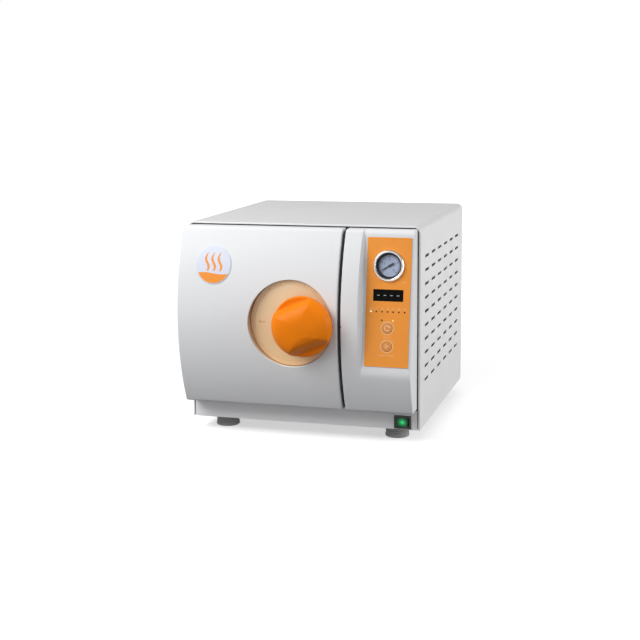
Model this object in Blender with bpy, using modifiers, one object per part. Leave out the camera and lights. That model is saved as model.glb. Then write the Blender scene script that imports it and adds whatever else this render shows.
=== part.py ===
"""Benchtop steam autoclave: a front-loading chamber in a sheet-metal cabinet.

The door hangs on a vertical hinge at the left. A large knob turns a pinion, which drives a rack
bolt out of the door and into a keeper behind the control fascia. Lengths are in metres, +Z is up,
the front faces -Y, and the origin is on the floor under the middle of the bounding box.
"""

import math

import bmesh
import bpy
from mathutils import Euler, Vector

# Cabinet
CABINET_W, CABINET_D, CABINET_H = 0.450, 0.435, 0.381
FOOT_H = 0.0255
KNOB_REACH = 0.110  # knob face, forward of the cabinet's front plane
REAR_REACH = 0.030  # hose barbs, behind the cabinet's back edge
SHEET = 0.0015
GAP = 0.0003  # between pieces that touch
BEND_R = 0.012  # outer radius of the cover's top corners
LIP = 0.0035  # width of the cover's turned-in front edge
APRON_H = 0.037  # front of the base pan
FRAME_Y = (0.0018, 0.0033)  # front frame plate
REAR_Y = (0.4330, 0.4345)  # rear panel plate
VENT_ROWS, VENT_COLUMNS = 10, 6
VENT_SIZE = (0.035, 0.005)
VENT_FIRST = (0.060, 0.0867)
VENT_PITCH = (0.0616, 0.0260)

# Bulged front of the door and of the control fascia: an arc seen from the side
BULGE_R = 0.382
BULGE_DEPTH = 0.069
BULGE_Z = 0.197
FRONT_BOTTOM, FRONT_TOP = 0.0395, 0.3755
FRONT_TOP_R, FRONT_BOTTOM_R = 0.011, 0.003
FRONT_BACK_Y = -0.0015  # rear edges of both mouldings
WALL = 0.0025
DOOR_X = (0.0, 0.312)
FASCIA_X = (0.3146, 0.4445)

# Flat sloping facet of the fascia that carries the control plate
FACET_X = 0.3512
FACET_LOW = (0.058, 0.131)  # depth forward of the front plane, and height
FACET_HIGH = (0.025, 0.360)
PLATE_X = (0.3583, 0.4400)
PLATE_TOP_Z = 0.3624
PLATE_T = 0.0012
GAUGE_X, GAUGE_Z = 0.3991, 0.3120
DISPLAY_X, DISPLAY_Z = (0.3720, 0.4270), (0.2490, 0.2695)
LAMP_ROW = (7, 0.3682, 0.01038, 0.2300)  # count, first x, pitch, height
LAMP_PAIR = (2, 0.3890, 0.0205, 0.2145)
BUTTON_X = 0.3996
BUTTON_Z = {"select_button": 0.2008, "start_button": 0.1684}
BUTTON_R = 0.0100

# Chamber, on an axis along Y
CHAMBER_X, CHAMBER_Z = 0.165, 0.203
CHAMBER_R = 0.115
CHAMBER_WALL = 0.0025
CHAMBER_FRONT_Y, CHAMBER_BACK_Y = -0.006, 0.379
FLANGE_R = 0.131

# Door
HINGE_X, HINGE_Y = 0.012, -0.016
KNUCKLE_R, PIN_R, PIN_BORE_R = 0.008, 0.004, 0.0044
BRACKET_Z = {"hinge_bracket_lower": (0.0995, 0.1195), "hinge_bracket_upper": (0.2865, 0.3065)}
BARREL_Z = (0.120, 0.286)
WINDOW_X, WINDOW_Z, WINDOW_R = 0.221, 0.2035, 0.0805
COLLAR_R = 0.083
DIAL_Y = (-0.0530, -0.0508)
BADGE_X, BADGE_Z, BADGE_R = 0.0703, 0.3066, 0.0345

# Knob and lock
KNOB_X, KNOB_Z = 0.249, 0.203
KNOB_R = 0.0565
GRIP_HALF_W = 0.0405
GRIP_TILT = math.radians(21)
HUB_R = 0.020
SHAFT_R, SHAFT_BORE_R = 0.005, 0.0055
MODULE, TEETH, PRESSURE = 0.002, 12, math.radians(25)
PITCH_R = MODULE * TEETH / 2
ADDENDUM, DEDENDUM = 0.9 * MODULE, 1.15 * MODULE
BACKLASH = 0.0001  # taken off each flank
RACK_Y = (-0.0465, -0.0385)
TONGUE_Z = (0.1950, 0.2110)
BOLT_SLOT_Y, BOLT_SLOT_Z = (-0.0480, -0.0370), (0.1935, 0.2125)

# Trays
RACK_HALF_W = 0.086
LEDGE_OFFSETS = {"tray_lower": -0.050, "tray_middle": -0.010, "tray_upper": 0.030}
TRAY_SIZE = (0.166, 0.330, 0.014)
TRAY_FRONT_Y = 0.018

# Power switch and rear fittings
SWITCH_X, SWITCH_Z = 0.4175, 0.0145
ROCKER_TILT = math.radians(8)
ROCKER_PIVOT_Y = 0.0025
FAN_X, FAN_Z, FAN_R = 0.378, 0.110, 0.036
INLET_X, INLET_Z = 0.201, 0.045
HOSE_Z = 0.050
HOSE_X = {"drain_fitting": 0.060, "fill_fitting": 0.105}
VALVE_Z = 0.275
FILTER_X, FILTER_Z = 0.060, 0.300

FRONT_Y = KNOB_REACH - (KNOB_REACH + CABINET_D + REAR_REACH) / 2
FACET_TILT = math.atan2(FACET_LOW[0] - FACET_HIGH[0], FACET_HIGH[1] - FACET_LOW[1])
RIGHT_ANGLE = math.pi / 2
FACING = {
    "up": Euler((0, 0, 0)),
    "front": Euler((RIGHT_ANGLE, 0, 0)),
    "back": Euler((-RIGHT_ANGLE, 0, 0)),
    "right": Euler((0, RIGHT_ANGLE, 0)),
    "sideways": Euler((RIGHT_ANGLE, 0, RIGHT_ANGLE)),  # an outline in (y, z), extruded along x
}


def at(x, y, z):
    """A point given from the lower left front corner of the cabinet."""
    return Vector((x - CABINET_W / 2, y + FRONT_Y, z + FOOT_H))


def middle(span):
    return (span[0] + span[1]) / 2


def length(span):
    return span[1] - span[0]


# ---------------------------------------------------------------- objects and materials


def clear_scene():
    for obj in list(bpy.data.objects):
        bpy.data.objects.remove(obj, do_unlink=True)


def collection(name):
    made = bpy.data.collections.new(name)
    bpy.context.scene.collection.children.link(made)
    return made


def finish_of(name, colour, roughness, metallic=0.0, alpha=1.0):
    """A Principled material."""
    made = bpy.data.materials.new(name)
    made.use_nodes = True
    shader = made.node_tree.nodes["Principled BSDF"]
    shader.inputs["Base Color"].default_value = (*colour, 1.0)
    shader.inputs["Roughness"].default_value = roughness
    shader.inputs["Metallic"].default_value = metallic
    shader.inputs["Alpha"].default_value = alpha
    made.diffuse_color = (*colour, alpha)
    return made


def add_object(name, mesh, place, facing="up", mat=None, parent=None):
    """Links a part, or a cutter where it has no material. A child's place is in its parent's frame."""
    obj = bpy.data.objects.new(name, mesh)
    obj.location = place if parent is None else Vector(place)
    obj.rotation_euler = FACING[facing]
    obj.parent = parent
    if mat is None:
        CUTTERS.objects.link(obj)
        obj.hide_render = True
        obj.display_type = "WIRE"
    else:
        PARTS.objects.link(obj)
        mesh.materials.append(mat)
    return obj


def mesh_from(name, bm):
    mesh = bpy.data.meshes.new(name)
    bmesh.ops.recalc_face_normals(bm, faces=bm.faces)
    bm.to_mesh(mesh)
    bm.free()
    mesh.shade_smooth()
    mesh.set_sharp_from_angle(angle=math.radians(35))
    return mesh


def block(name, x, y, z, mat=None, parent=None):
    """A box between three (low, high) spans."""
    bm = bmesh.new()
    bmesh.ops.create_cube(bm, size=1.0)
    bmesh.ops.scale(bm, vec=(length(x), length(y), length(z)), verts=bm.verts)
    centre = (middle(x), middle(y), middle(z))
    place = at(*centre) if parent is None else centre
    return add_object(name, mesh_from(name, bm), place, mat=mat, parent=parent)


def rod(name, radius, depth, place, facing, mat=None, parent=None, sides=24):
    """A cylinder that starts at place and runs the way it faces."""
    bm = bmesh.new()
    bmesh.ops.create_cone(
        bm, cap_ends=True, segments=sides, radius1=radius, radius2=radius, depth=depth
    )
    bmesh.ops.translate(bm, vec=(0, 0, depth / 2), verts=bm.verts)
    return add_object(name, mesh_from(name, bm), place, facing, mat, parent)


def turned(name, profile, place, facing, mat=None, parent=None, steps=32, closed=False):
    """A profile of (radius, height) points, running down its outer side, turned about its axis."""
    bm = bmesh.new()
    points = [bm.verts.new((radius, 0, height)) for radius, height in profile]
    for first, second in zip(points, points[1:] + points[:1] if closed else points[1:]):
        bm.edges.new((first, second))
    mesh = bpy.data.meshes.new(name)
    bm.to_mesh(mesh)
    bm.free()
    obj = add_object(name, mesh, place, facing, mat, parent)
    screw = obj.modifiers.new("Turn", "SCREW")
    screw.axis = "Z"
    screw.angle = 2 * math.pi
    screw.steps = screw.render_steps = steps
    screw.use_merge_vertices = True
    screw.merge_threshold = 0.00001
    screw.use_smooth_shade = True
    return obj


def prism(name, outlines, depth, place, facing, mat=None, parent=None):
    """A flat outline with its holes, extruded evenly both ways from its plane."""
    curve = bpy.data.curves.new(name, "CURVE")
    curve.dimensions = "2D"
    curve.fill_mode = "BOTH"
    curve.extrude = depth / 2
    for outline in outlines:
        spline = curve.splines.new("POLY")
        spline.points.add(len(outline) - 1)
        spline.use_cyclic_u = True
        for point, (u, v) in zip(spline.points, outline):
            point.co = (u, v, 0, 1)
    guide = bpy.data.objects.new(name + "_outline", curve)
    bpy.context.scene.collection.objects.link(guide)
    graph = bpy.context.evaluated_depsgraph_get()
    filled = bpy.data.meshes.new_from_object(guide.evaluated_get(graph))
    bpy.data.objects.remove(guide)
    bm = bmesh.new()
    bm.from_mesh(filled)
    bmesh.ops.remove_doubles(bm, verts=bm.verts, dist=0.000001)
    bpy.data.meshes.remove(filled)
    return add_object(name, mesh_from(name, bm), place, facing, mat, parent)


def wire(name, points, radius, mat):
    """A round tube along straight steps between points."""
    curve = bpy.data.curves.new(name, "CURVE")
    curve.dimensions = "3D"
    curve.bevel_depth = radius
    curve.bevel_resolution = 2
    curve.use_fill_caps = True
    spline = curve.splines.new("POLY")
    spline.points.add(len(points) - 1)
    for point, place in zip(spline.points, points):
        point.co = (*place, 1)
    obj = bpy.data.objects.new(name, curve)
    PARTS.objects.link(obj)
    curve.materials.append(mat)
    return obj


def tube(name, route, radius, mat):
    """A round tube along a smooth curve through the route's points."""
    return wire(name, smooth_route([at(*point) for point in route]), radius, mat)


def boolean(obj, operation, others):
    for other in others:
        change = obj.modifiers.new(other.name, "BOOLEAN")
        change.operation = operation
        change.solver = "EXACT"
        change.object = other
    return obj


def cut(obj, *others):
    return boolean(obj, "DIFFERENCE", others)


def fuse(obj, *others):
    return boolean(obj, "UNION", others)


def keep_inside(obj, *others):
    return boolean(obj, "INTERSECT", others)


# ---------------------------------------------------------------- outlines


def arc(cx, cy, radius, start, end, segments):
    """Points on an arc, angles in radians, both ends included."""
    angles = [start + (end - start) * i / segments for i in range(segments + 1)]
    return [(cx + radius * math.cos(a), cy + radius * math.sin(a)) for a in angles]


def circle(cx, cy, radius, sides=32):
    return arc(cx, cy, radius, 0, 2 * math.pi, sides)[:-1]


def rectangle(x, y):
    return [(x[0], y[0]), (x[1], y[0]), (x[1], y[1]), (x[0], y[1])]


def arch(inset, bottom):
    """The cabinet's front view, inset all round, with rounded top corners."""
    radius = BEND_R - inset
    low, high, top = inset + radius, CABINET_W - inset - radius, CABINET_H - inset - radius
    corners = arc(high, top, radius, 0, RIGHT_ANGLE, 5)
    corners += arc(low, top, radius, RIGHT_ANGLE, 2 * RIGHT_ANGLE, 5)
    return [(inset, bottom), (CABINET_W - inset, bottom)] + corners


def bulge(inset, back, flat=False):
    """Side view (y, z) of the bulged front, inset from its skin and closed at the plane y = back.

    With flat, the facet of the control plate replaces the arc above the point where they meet.
    """
    radius = BULGE_R - inset
    centre_y = BULGE_R - BULGE_DEPTH
    bottom, top = FRONT_BOTTOM + inset, FRONT_TOP - inset
    low_r = max(FRONT_BOTTOM_R - inset, 0.0005)
    top_r = FRONT_TOP_R - inset
    low_z = bottom + low_r
    low_y = centre_y - math.sqrt((radius - low_r) ** 2 - (low_z - BULGE_Z) ** 2)
    low_angle = math.atan2(low_z - BULGE_Z, low_y - centre_y) + 2 * math.pi
    outline = [(back, bottom)] + arc(low_y, low_z, low_r, 3 * RIGHT_ANGLE, low_angle, 2)
    top_z = top - top_r
    if flat:
        out = (-math.cos(FACET_TILT), math.sin(FACET_TILT))
        on_facet = (-FACET_LOW[0] - inset * out[0], FACET_LOW[1] - inset * out[1])
        offset = (on_facet[0] - centre_y) * out[0] + (on_facet[1] - BULGE_Z) * out[1]
        meet = math.pi - FACET_TILT + math.acos(offset / radius)
        outline += arc(centre_y, BULGE_Z, radius, low_angle, meet, 8)[1:]
        rise = (top_z + top_r * out[1] - on_facet[1]) / math.cos(FACET_TILT)
        top_y = on_facet[0] + rise * math.sin(FACET_TILT) - top_r * out[0]
        outline += arc(top_y, top_z, top_r, math.pi - FACET_TILT, RIGHT_ANGLE, 4)
    else:
        top_y = centre_y - math.sqrt((radius - top_r) ** 2 - (top_z - BULGE_Z) ** 2)
        top_angle = math.atan2(top_z - BULGE_Z, top_y - centre_y)
        outline += arc(centre_y, BULGE_Z, radius, low_angle, top_angle, 16)[1:-1]
        outline += arc(top_y, top_z, top_r, top_angle, RIGHT_ANGLE, 4)
    return outline + [(back, top)]


def bulge_solid(name, x, inset, back=FRONT_BACK_Y, flat=False, mat=None):
    outline = bulge(inset, back, flat)
    return prism(name, [outline], length(x), at(middle(x), 0, 0), "sideways", mat)


def gear_outline():
    """Involute pinion with a tooth space straight up."""
    base_r = PITCH_R * math.cos(PRESSURE)
    tip_r, root_r = PITCH_R + ADDENDUM, PITCH_R - DEDENDUM

    def half_width(radius):
        slope = math.acos(base_r / radius)
        involute = math.tan(PRESSURE) - PRESSURE - (math.tan(slope) - slope)
        return math.pi / (2 * TEETH) + involute - BACKLASH / PITCH_R

    radii = [base_r + (tip_r - base_r) * i / 2 for i in range(3)]
    flank = [(root_r, half_width(base_r))] + [(r, half_width(r)) for r in radii]
    outline = []
    for tooth in range(TEETH):
        centre = RIGHT_ANGLE + (tooth + 0.5) * 2 * math.pi / TEETH
        polar = [(r, centre - w) for r, w in flank] + [(r, centre + w) for r, w in flank[::-1]]
        outline += [(r * math.cos(a), r * math.sin(a)) for r, a in polar]
    return outline


def bolt_outline():
    """Rack strip above the pinion, stepped down to the locking tongue, in (x, z)."""
    pitch = math.pi * MODULE
    line = KNOB_Z + PITCH_R
    half = pitch / 4 - BACKLASH
    tip = half - ADDENDUM * math.tan(PRESSURE)
    root = half + DEDENDUM * math.tan(PRESSURE)
    left, riser, shoulder, end, top = 0.2165, 0.2800, 0.2890, 0.3088, 0.2290
    outline = [(left, top), (left, line + DEDENDUM)]
    for tooth in range(-4, 2):
        x = KNOB_X + tooth * pitch
        outline += [(x - root, line + DEDENDUM), (x - tip, line - ADDENDUM)]
        outline += [(x + tip, line - ADDENDUM), (x + root, line + DEDENDUM)]
    outline += [(riser, line + DEDENDUM), (riser, TONGUE_Z[0]), (end, TONGUE_Z[0])]
    return outline + [(end, TONGUE_Z[1]), (shoulder, TONGUE_Z[1]), (shoulder, top)]


def smooth_route(points):
    """A Catmull-Rom curve through the points, four steps to a span."""
    ends = [2 * points[0] - points[1]] + points + [2 * points[-1] - points[-2]]
    found = [points[0]]
    for a, b, c, d in zip(ends, ends[1:], ends[2:], ends[3:]):
        for step in (0.25, 0.5, 0.75, 1.0):
            cubic = (3 * b - a - 3 * c + d) * step**3 + (2 * a - 5 * b + 4 * c - d) * step**2
            found.append(b + (cubic + (c - a) * step) / 2)
    return found


# ---------------------------------------------------------------- cabinet


def make_cover():
    """U-shaped cover with a turned-in front edge and slots in its right side."""
    depth = CABINET_D
    cover = prism("cabinet_cover", [arch(0, 0)], depth, at(0, depth / 2, 0), "front", WHITE)
    inside = prism("cover_inside", [arch(SHEET, -0.01)], depth, at(0, depth / 2 + SHEET, 0), "front")
    mouth = prism("cover_mouth", [arch(LIP, -0.01)], 0.02, at(0, 0, 0), "front")
    cut(cover, inside, mouth)
    bm = bmesh.new()
    for row in range(VENT_ROWS):
        for column in range(VENT_COLUMNS):
            made = bmesh.ops.create_cone(
                bm, cap_ends=True, segments=6, radius1=0.5, radius2=0.5, depth=0.02
            )["verts"]
            bmesh.ops.rotate(bm, matrix=Euler((0, RIGHT_ANGLE, 0)).to_matrix(), verts=made)
            bmesh.ops.scale(bm, vec=(1, VENT_SIZE[0], VENT_SIZE[1]), verts=made)
            place = (0, VENT_FIRST[0] + column * VENT_PITCH[0], VENT_FIRST[1] + row * VENT_PITCH[1])
            bmesh.ops.translate(bm, vec=place, verts=made)
    vents = add_object("cover_vents", mesh_from("cover_vents", bm), at(CABINET_W, 0, 0))
    return cut(cover, vents)


def make_base():
    """Shallow pan with a tall front apron, where the power switch sits."""
    x, y = (0.0050, CABINET_W - 0.0050), (0.0, REAR_Y[0] - GAP)
    pan = block("base_pan", x, y, (0.0, 0.012), WHITE)
    inner = (x[0] + SHEET, x[1] - SHEET), (y[0] + SHEET, y[1] - SHEET)
    hollow = block("pan_hollow", *inner, (SHEET, 0.02))
    apron = block("pan_apron", x, (0.0, SHEET), (0.001, APRON_H))
    hole = switch_box("pan_switch_hole", 0.0148, 0.0111, (-0.01, 0.01))
    fuse(cut(pan, hollow), apron)
    slots = [
        block(f"pan_slot_{i}", (0.06 + 0.06 * i, 0.075 + 0.06 * i), (0.15, 0.28), (-0.01, 0.01))
        for i in range(6)
    ]
    return cut(pan, hole, *slots)


def make_feet():
    profile = [
        (0, FOOT_H - GAP), (0.0222, FOOT_H - GAP), (0.0222, 0.0085), (0.0228, 0.0070),
        (0.0228, 0.0015), (0.0215, 0), (0, 0),
    ]
    for side, x in (("left", 0.0535), ("right", CABINET_W - 0.0535)):
        for end, y in (("front", 0.049), ("rear", CABINET_D - 0.049)):
            turned(f"foot_{end}_{side}", profile, at(x, y, -FOOT_H), "up", GREY_RUBBER, steps=20)


def make_frame_plates():
    """The plate behind the door and fascia, and the rear panel."""
    opening = rectangle((0.335, 0.437), (0.055, 0.355))
    holes = [circle(CHAMBER_X, CHAMBER_Z, FLANGE_R + 0.0015, 48), opening]
    outline = [arch(SHEET + GAP, APRON_H + GAP)] + holes
    prism("front_frame", outline, length(FRAME_Y), at(0, middle(FRAME_Y), 0), "front", GREY_METAL)
    holes = [circle(FAN_X, FAN_Z, FAN_R), circle(CHAMBER_X, VALVE_Z, 0.0135, 16)]
    holes += [circle(x, HOSE_Z, 0.0072, 12) for x in HOSE_X.values()]
    holes += [circle(FILTER_X, FILTER_Z, 0.0085, 12)]
    holes += [rectangle((INLET_X - 0.0145, INLET_X + 0.0145), (INLET_Z - 0.011, INLET_Z + 0.011))]
    for column in range(6):
        x = 0.325 + 0.018 * column
        holes += [rectangle((x, x + 0.006), (0.220, 0.300))]
    outline = [arch(SHEET + GAP, 0.0005)] + holes
    prism("rear_panel", outline, length(REAR_Y), at(0, middle(REAR_Y), 0), "front", WHITE)


def make_fascia():
    """Moulded front beside the door, with the recessed facet for the control plate."""
    left, right = FASCIA_X
    step = FACET_X - WALL
    shell = bulge_solid("control_fascia", (left, FACET_X), 0, mat=WHITE)
    fuse(shell, bulge_solid("fascia_facet", (FACET_X - 0.001, right), 0, flat=True))
    hollow_left = bulge_solid("fascia_hollow_left", (left + WALL, step), WALL, 0.01)
    hollow_right = bulge_solid("fascia_hollow_right", (step - 0.001, right - WALL), WALL, 0.01, True)
    window = block("fascia_window", (0.3660, 0.4330), (-0.002, 0.008), (0.008, 0.224), parent=PANEL)
    slot = block("fascia_slot", (left - 0.003, left + 0.006), BOLT_SLOT_Y, BOLT_SLOT_Z)
    return cut(shell, hollow_left, hollow_right, window, slot)


# ---------------------------------------------------------------- control plate


def up_facet(z):
    """Distance up the facet at a height."""
    return (z - FACET_LOW[1]) / math.cos(FACET_TILT)


def lamp_places():
    for count, first, pitch, z in (LAMP_ROW, LAMP_PAIR):
        for i in range(count):
            yield first + i * pitch, up_facet(z)


def make_control_plate():
    display = DISPLAY_X, tuple(map(up_facet, DISPLAY_Z))
    grown = [(low - GAP, high + GAP) for low, high in display]
    holes = [circle(GAUGE_X, up_facet(GAUGE_Z), 0.0245, 32), rectangle(*grown)]
    holes += [circle(x, w, 0.0018, 8) for x, w in lamp_places()]
    holes += [circle(BUTTON_X, up_facet(z), BUTTON_R + GAP, 24) for z in BUTTON_Z.values()]
    outline = [rectangle(PLATE_X, (0, up_facet(PLATE_TOP_Z)))] + holes
    prism("control_plate", outline, PLATE_T, (0, -GAP - PLATE_T / 2, 0), "front", ORANGE, PANEL)
    block("display_window", *((display[0]), (-0.0017, 0.0010), display[1]), BLACK_GLOSS, PANEL)
    board = block("indicator_board", (0.3665, 0.4325), (0.0040, 0.0056), (0.0823, 0.1110),
                  GREEN_BOARD, PANEL)
    for i, (x, w) in enumerate(lamp_places()):
        fuse(board, rod(f"lamp_{i}", 0.0015, 0.0065, (x, 0.0047, w), "front", parent=PANEL, sides=8))
    cap = [
        (0, 0.0063), (BUTTON_R - 0.0008, 0.0063), (BUTTON_R, 0.0057), (BUTTON_R, 0.0035),
        (BUTTON_R + 0.0015, 0.0035), (BUTTON_R + 0.0015, 0), (0, 0),
    ]
    for name, z in BUTTON_Z.items():
        turned(name, cap, (BUTTON_X, 0.0040, up_facet(z)), "front", ORANGE, PANEL, 24)


def make_gauge():
    """Panel gauge: case with bezel, dial, needle on its spindle line, and lens."""
    place = Vector((GAUGE_X, -GAP - PLATE_T, up_facet(GAUGE_Z)))
    case = [
        (0, -0.020), (0.0225, -0.020), (0.0225, 0.002), (0.0235, 0.005), (0.0265, 0.0052),
        (0.0285, 0.0035), (0.0285, GAP), (0.0240, GAP), (0.0240, -0.028), (0, -0.028),
    ]
    turned("gauge_case", case, place, "front", CHROME, PANEL)
    rod("gauge_dial", 0.0222, 0.0010, place + Vector((0, 0.0065, 0)), "front", PALE, PANEL, 32)
    rod("gauge_lens", 0.0222, 0.0012, place + Vector((0, -0.0002, 0)), "front", GLASS, PANEL, 32)
    tip, tail, half, wide = 0.0180, -0.0090, 0.0004, 0.0011
    needle = [(tip, 0), (0, half), (-0.002, wide), (tail, wide)]
    needle += [(u, -v) for u, v in needle[:0:-1]]
    heading = math.radians(210)
    cos, sin = math.cos(heading), math.sin(heading)
    turn = [(u * cos - v * sin, u * sin + v * cos) for u, v in needle]
    place = place + Vector((0, 0.0042, 0))
    pointer = prism("gauge_needle", [turn], 0.0007, place, "front", BLACK, PANEL)
    fuse(pointer, rod("needle_hub", 0.0022, 0.0022, (0, 0, -0.0008), "up", parent=pointer, sides=12))


# ---------------------------------------------------------------- power switch


def switch_box(name, half_x, half_z, y, mat=None):
    return block(name, (SWITCH_X - half_x, SWITCH_X + half_x), y, (SWITCH_Z - half_z, SWITCH_Z + half_z), mat)


def make_switch():
    bezel = switch_box("switch_bezel", 0.01625, 0.0127, (-0.0024, -GAP), BLACK)
    fuse(bezel, switch_box("switch_body", 0.0145, 0.0108, (-0.001, 0.022)))
    cut(bezel, switch_box("switch_hollow", 0.0125, 0.0090, (-0.01, 0.010)))
    half, pivot = 0.0112, ROCKER_PIVOT_Y
    outline = [
        (-half, -0.0040 - pivot), (0, -0.0018 - pivot), (half, -0.0040 - pivot),
        (half, 0.0010 - pivot), (0.004, 0.0050 - pivot), (-0.004, 0.0050 - pivot), (-half, 0.0010 - pivot),
    ]
    rocker = prism("switch_rocker", [outline], 0.0172, at(SWITCH_X, pivot, SWITCH_Z), "up", GREEN_LENS)
    rocker.rotation_euler.z = -ROCKER_TILT


# ---------------------------------------------------------------- chamber


def on_axis(y):
    return at(CHAMBER_X, y, CHAMBER_Z)


def ring(name, inner, outer, y, mat):
    """A plain ring about the chamber's axis."""
    depth = length(y)
    profile = [(inner, depth), (outer, depth), (outer, 0), (inner, 0)]
    return turned(name, profile, on_axis(y[0]), "back", mat, steps=40, closed=True)


def make_chamber():
    front, back = CHAMBER_FRONT_Y, CHAMBER_BACK_Y
    outer = CHAMBER_R + CHAMBER_WALL
    dish = 0.014
    vessel = [
        (0, back + CHAMBER_WALL), (outer - dish, back + CHAMBER_WALL), (outer - 0.004, back - 0.003),
        (outer, back - dish), (outer, front + 0.010), (FLANGE_R, front + 0.010), (FLANGE_R, front),
        (CHAMBER_R, front), (CHAMBER_R, back - dish), (CHAMBER_R - 0.004, back - 0.005),
        (CHAMBER_R - dish, back), (0, back),
    ]
    turned("chamber_vessel", vessel, on_axis(0), "back", STEEL, steps=40)
    ring("door_gasket", 0.1185, 0.1275, (-0.0080, front - GAP), SILICONE)
    ring("heater_band", outer + 0.0004, outer + 0.0019, (0.110, 0.250), BROWN_METAL)
    ring("insulation_jacket", outer + 0.0038, 0.138, (0.008, 0.372), WOOL)
    cradle = block("chamber_cradle", (0.075, 0.255), (0.070, 0.300), (SHEET + GAP, 0.095), GREY_METAL)
    bed = rod("cradle_bed", 0.1386, 0.5, on_axis(-0.05), "back", sides=48)
    middle_cut = block("cradle_middle", (0.06, 0.27), (0.072, 0.298), (0.005, 0.2))
    sides_cut = block("cradle_floor", (0.09, 0.24), (0.08, 0.29), (-0.01, 0.02))
    cut(cradle, bed, middle_cut, sides_cut)


def make_trays():
    """Three trays on the ledges of a rack that stands in the chamber."""
    y = (TRAY_FRONT_Y - 0.003, TRAY_FRONT_Y + TRAY_SIZE[1] + 0.003)
    sides = []
    for sign in (-1, 1):
        plate = sorted((CHAMBER_X + sign * (RACK_HALF_W - 0.0012), CHAMBER_X + sign * RACK_HALF_W))
        ledge = sorted((CHAMBER_X + sign * (RACK_HALF_W - 0.0090), CHAMBER_X + sign * (RACK_HALF_W - 0.0005)))
        sides.append((plate, ledge))
    rack = block("tray_rack", sides[0][0], y, (CHAMBER_Z - 0.060, CHAMBER_Z + 0.058), STEEL)
    fuse(rack, block("rack_side", sides[1][0], y, (CHAMBER_Z - 0.060, CHAMBER_Z + 0.058)))
    for i, (plate, ledge) in enumerate(sides):
        for name, offset in LEDGE_OFFSETS.items():
            z = (CHAMBER_Z + offset, CHAMBER_Z + offset + 0.0015)
            fuse(rack, block(f"ledge_{name}_{i}", ledge, y, z))
    across = (CHAMBER_X - RACK_HALF_W + 0.0005, CHAMBER_X + RACK_HALF_W - 0.0005)
    for i, bar_y in enumerate((0.050, 0.300)):
        bar = (bar_y, bar_y + 0.012)
        fuse(rack, block(f"rack_bar_{i}", across, bar, (CHAMBER_Z - 0.0595, CHAMBER_Z - 0.0575)))
    for name, offset in LEDGE_OFFSETS.items():
        low = CHAMBER_Z + offset + 0.0015 + GAP
        half = TRAY_SIZE[0] / 2
        x = (CHAMBER_X - half, CHAMBER_X + half)
        y = (TRAY_FRONT_Y, TRAY_FRONT_Y + TRAY_SIZE[1])
        tray = block(name, x, y, (low, low + TRAY_SIZE[2]), STEEL)
        wall = 0.0012
        inner = (x[0] + wall, x[1] - wall), (y[0] + wall, y[1] - wall)
        cut(tray, block(name + "_hollow", *inner, (low + wall, low + 0.05)))
        for i in range(4):
            slot_y = (y[0] + 0.035 + 0.070 * i, y[0] + 0.085 + 0.070 * i)
            cut(tray, block(f"{name}_slot_{i}", (x[0] + 0.06, x[1] - 0.06), slot_y, (low - 0.01, low + 0.01)))


# ---------------------------------------------------------------- door


def make_door_cover():
    """Bulged shell with a round window, its collar, and the slot for the lock bolt."""
    left, right = DOOR_X
    shell = bulge_solid("door_cover", DOOR_X, 0, mat=WHITE)
    cut(shell, bulge_solid("door_hollow", (left + WALL, right - WALL), WALL, 0.01))
    collar = rod("door_collar", COLLAR_R, 0.0295, at(WINDOW_X, -0.0505, WINDOW_Z), "front", sides=48)
    keep_inside(collar, bulge_solid("door_envelope", (left + 0.001, right - 0.001), 0.0006))
    fuse(shell, collar)
    window = rod("door_window", WINDOW_R, 0.10, at(WINDOW_X, 0.01, WINDOW_Z), "front", sides=48)
    slot = block("door_slot", (right - 0.006, right + 0.003), BOLT_SLOT_Y, BOLT_SLOT_Z)
    relief = block("door_hinge_relief", (-0.01, HINGE_X + 0.0025), (-0.0062, 0.02), (0.0, 0.4))
    cut(shell, window, slot, relief)
    badge = rod("door_badge", BADGE_R, 0.10, at(BADGE_X, 0, BADGE_Z), "front", PALE, sides=32)
    keep_inside(badge, bulge_solid("badge_skin", (left - 0.01, right), -GAP - 0.0010, 0.01))
    cut(badge, bulge_solid("badge_bed", (left - 0.01, right), -GAP, 0.02))


def make_dial():
    """Disc behind the window, with an off-centre hole that the knob's hub turns in."""
    depth = length(DIAL_Y)
    place = at(WINDOW_X, middle(DIAL_Y), WINDOW_Z)
    hole = circle(KNOB_X - WINDOW_X, KNOB_Z - WINDOW_Z, HUB_R + 0.0025, 32)
    prism("door_dial", [circle(0, 0, 0.0800, 48), hole], depth, place, "front", CREAM)


def make_door_inside():
    """Pressure plate, and the bridge that carries it from the hinge."""
    plate = [
        (0, 0.0080), (0.060, 0.0080), (0.120, 0.0062), (0.1290, 0.0062), (FLANGE_R, 0.0045),
        (FLANGE_R, 0.0010), (0.1300, 0), (0, 0),
    ]
    turned("pressure_plate", plate, on_axis(-0.0083), "front", STEEL, steps=40)
    bridge = block("door_bridge", (HINGE_X, 0.304), (-0.034, -0.0175), (0.183, 0.223), CAST)
    barrel = rod("bridge_barrel", KNUCKLE_R, length(BARREL_Z), at(HINGE_X, HINGE_Y, BARREL_Z[0]), "up")
    pad = block("bridge_pad", (0.222, 0.3035), (-0.0380, -0.033), (0.186, 0.2330))
    upper = block("bridge_upper_guide", (0.2225, 0.262), (RACK_Y[0], -0.0325), (0.2295, 0.2325))
    lower = block("bridge_lower_guide", (0.292, 0.3030), (RACK_Y[0], -0.0325), (0.1905, 0.1945))
    fuse(bridge, barrel, pad, upper, lower)
    bore = rod("bridge_pin_bore", PIN_BORE_R, 0.3, at(HINGE_X, HINGE_Y, 0.05), "up", sides=16)
    socket = rod("bridge_shaft_bore", SHAFT_BORE_R, 0.02, at(KNOB_X, -0.033, KNOB_Z), "front", sides=16)
    cut(bridge, bore, socket)


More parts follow.
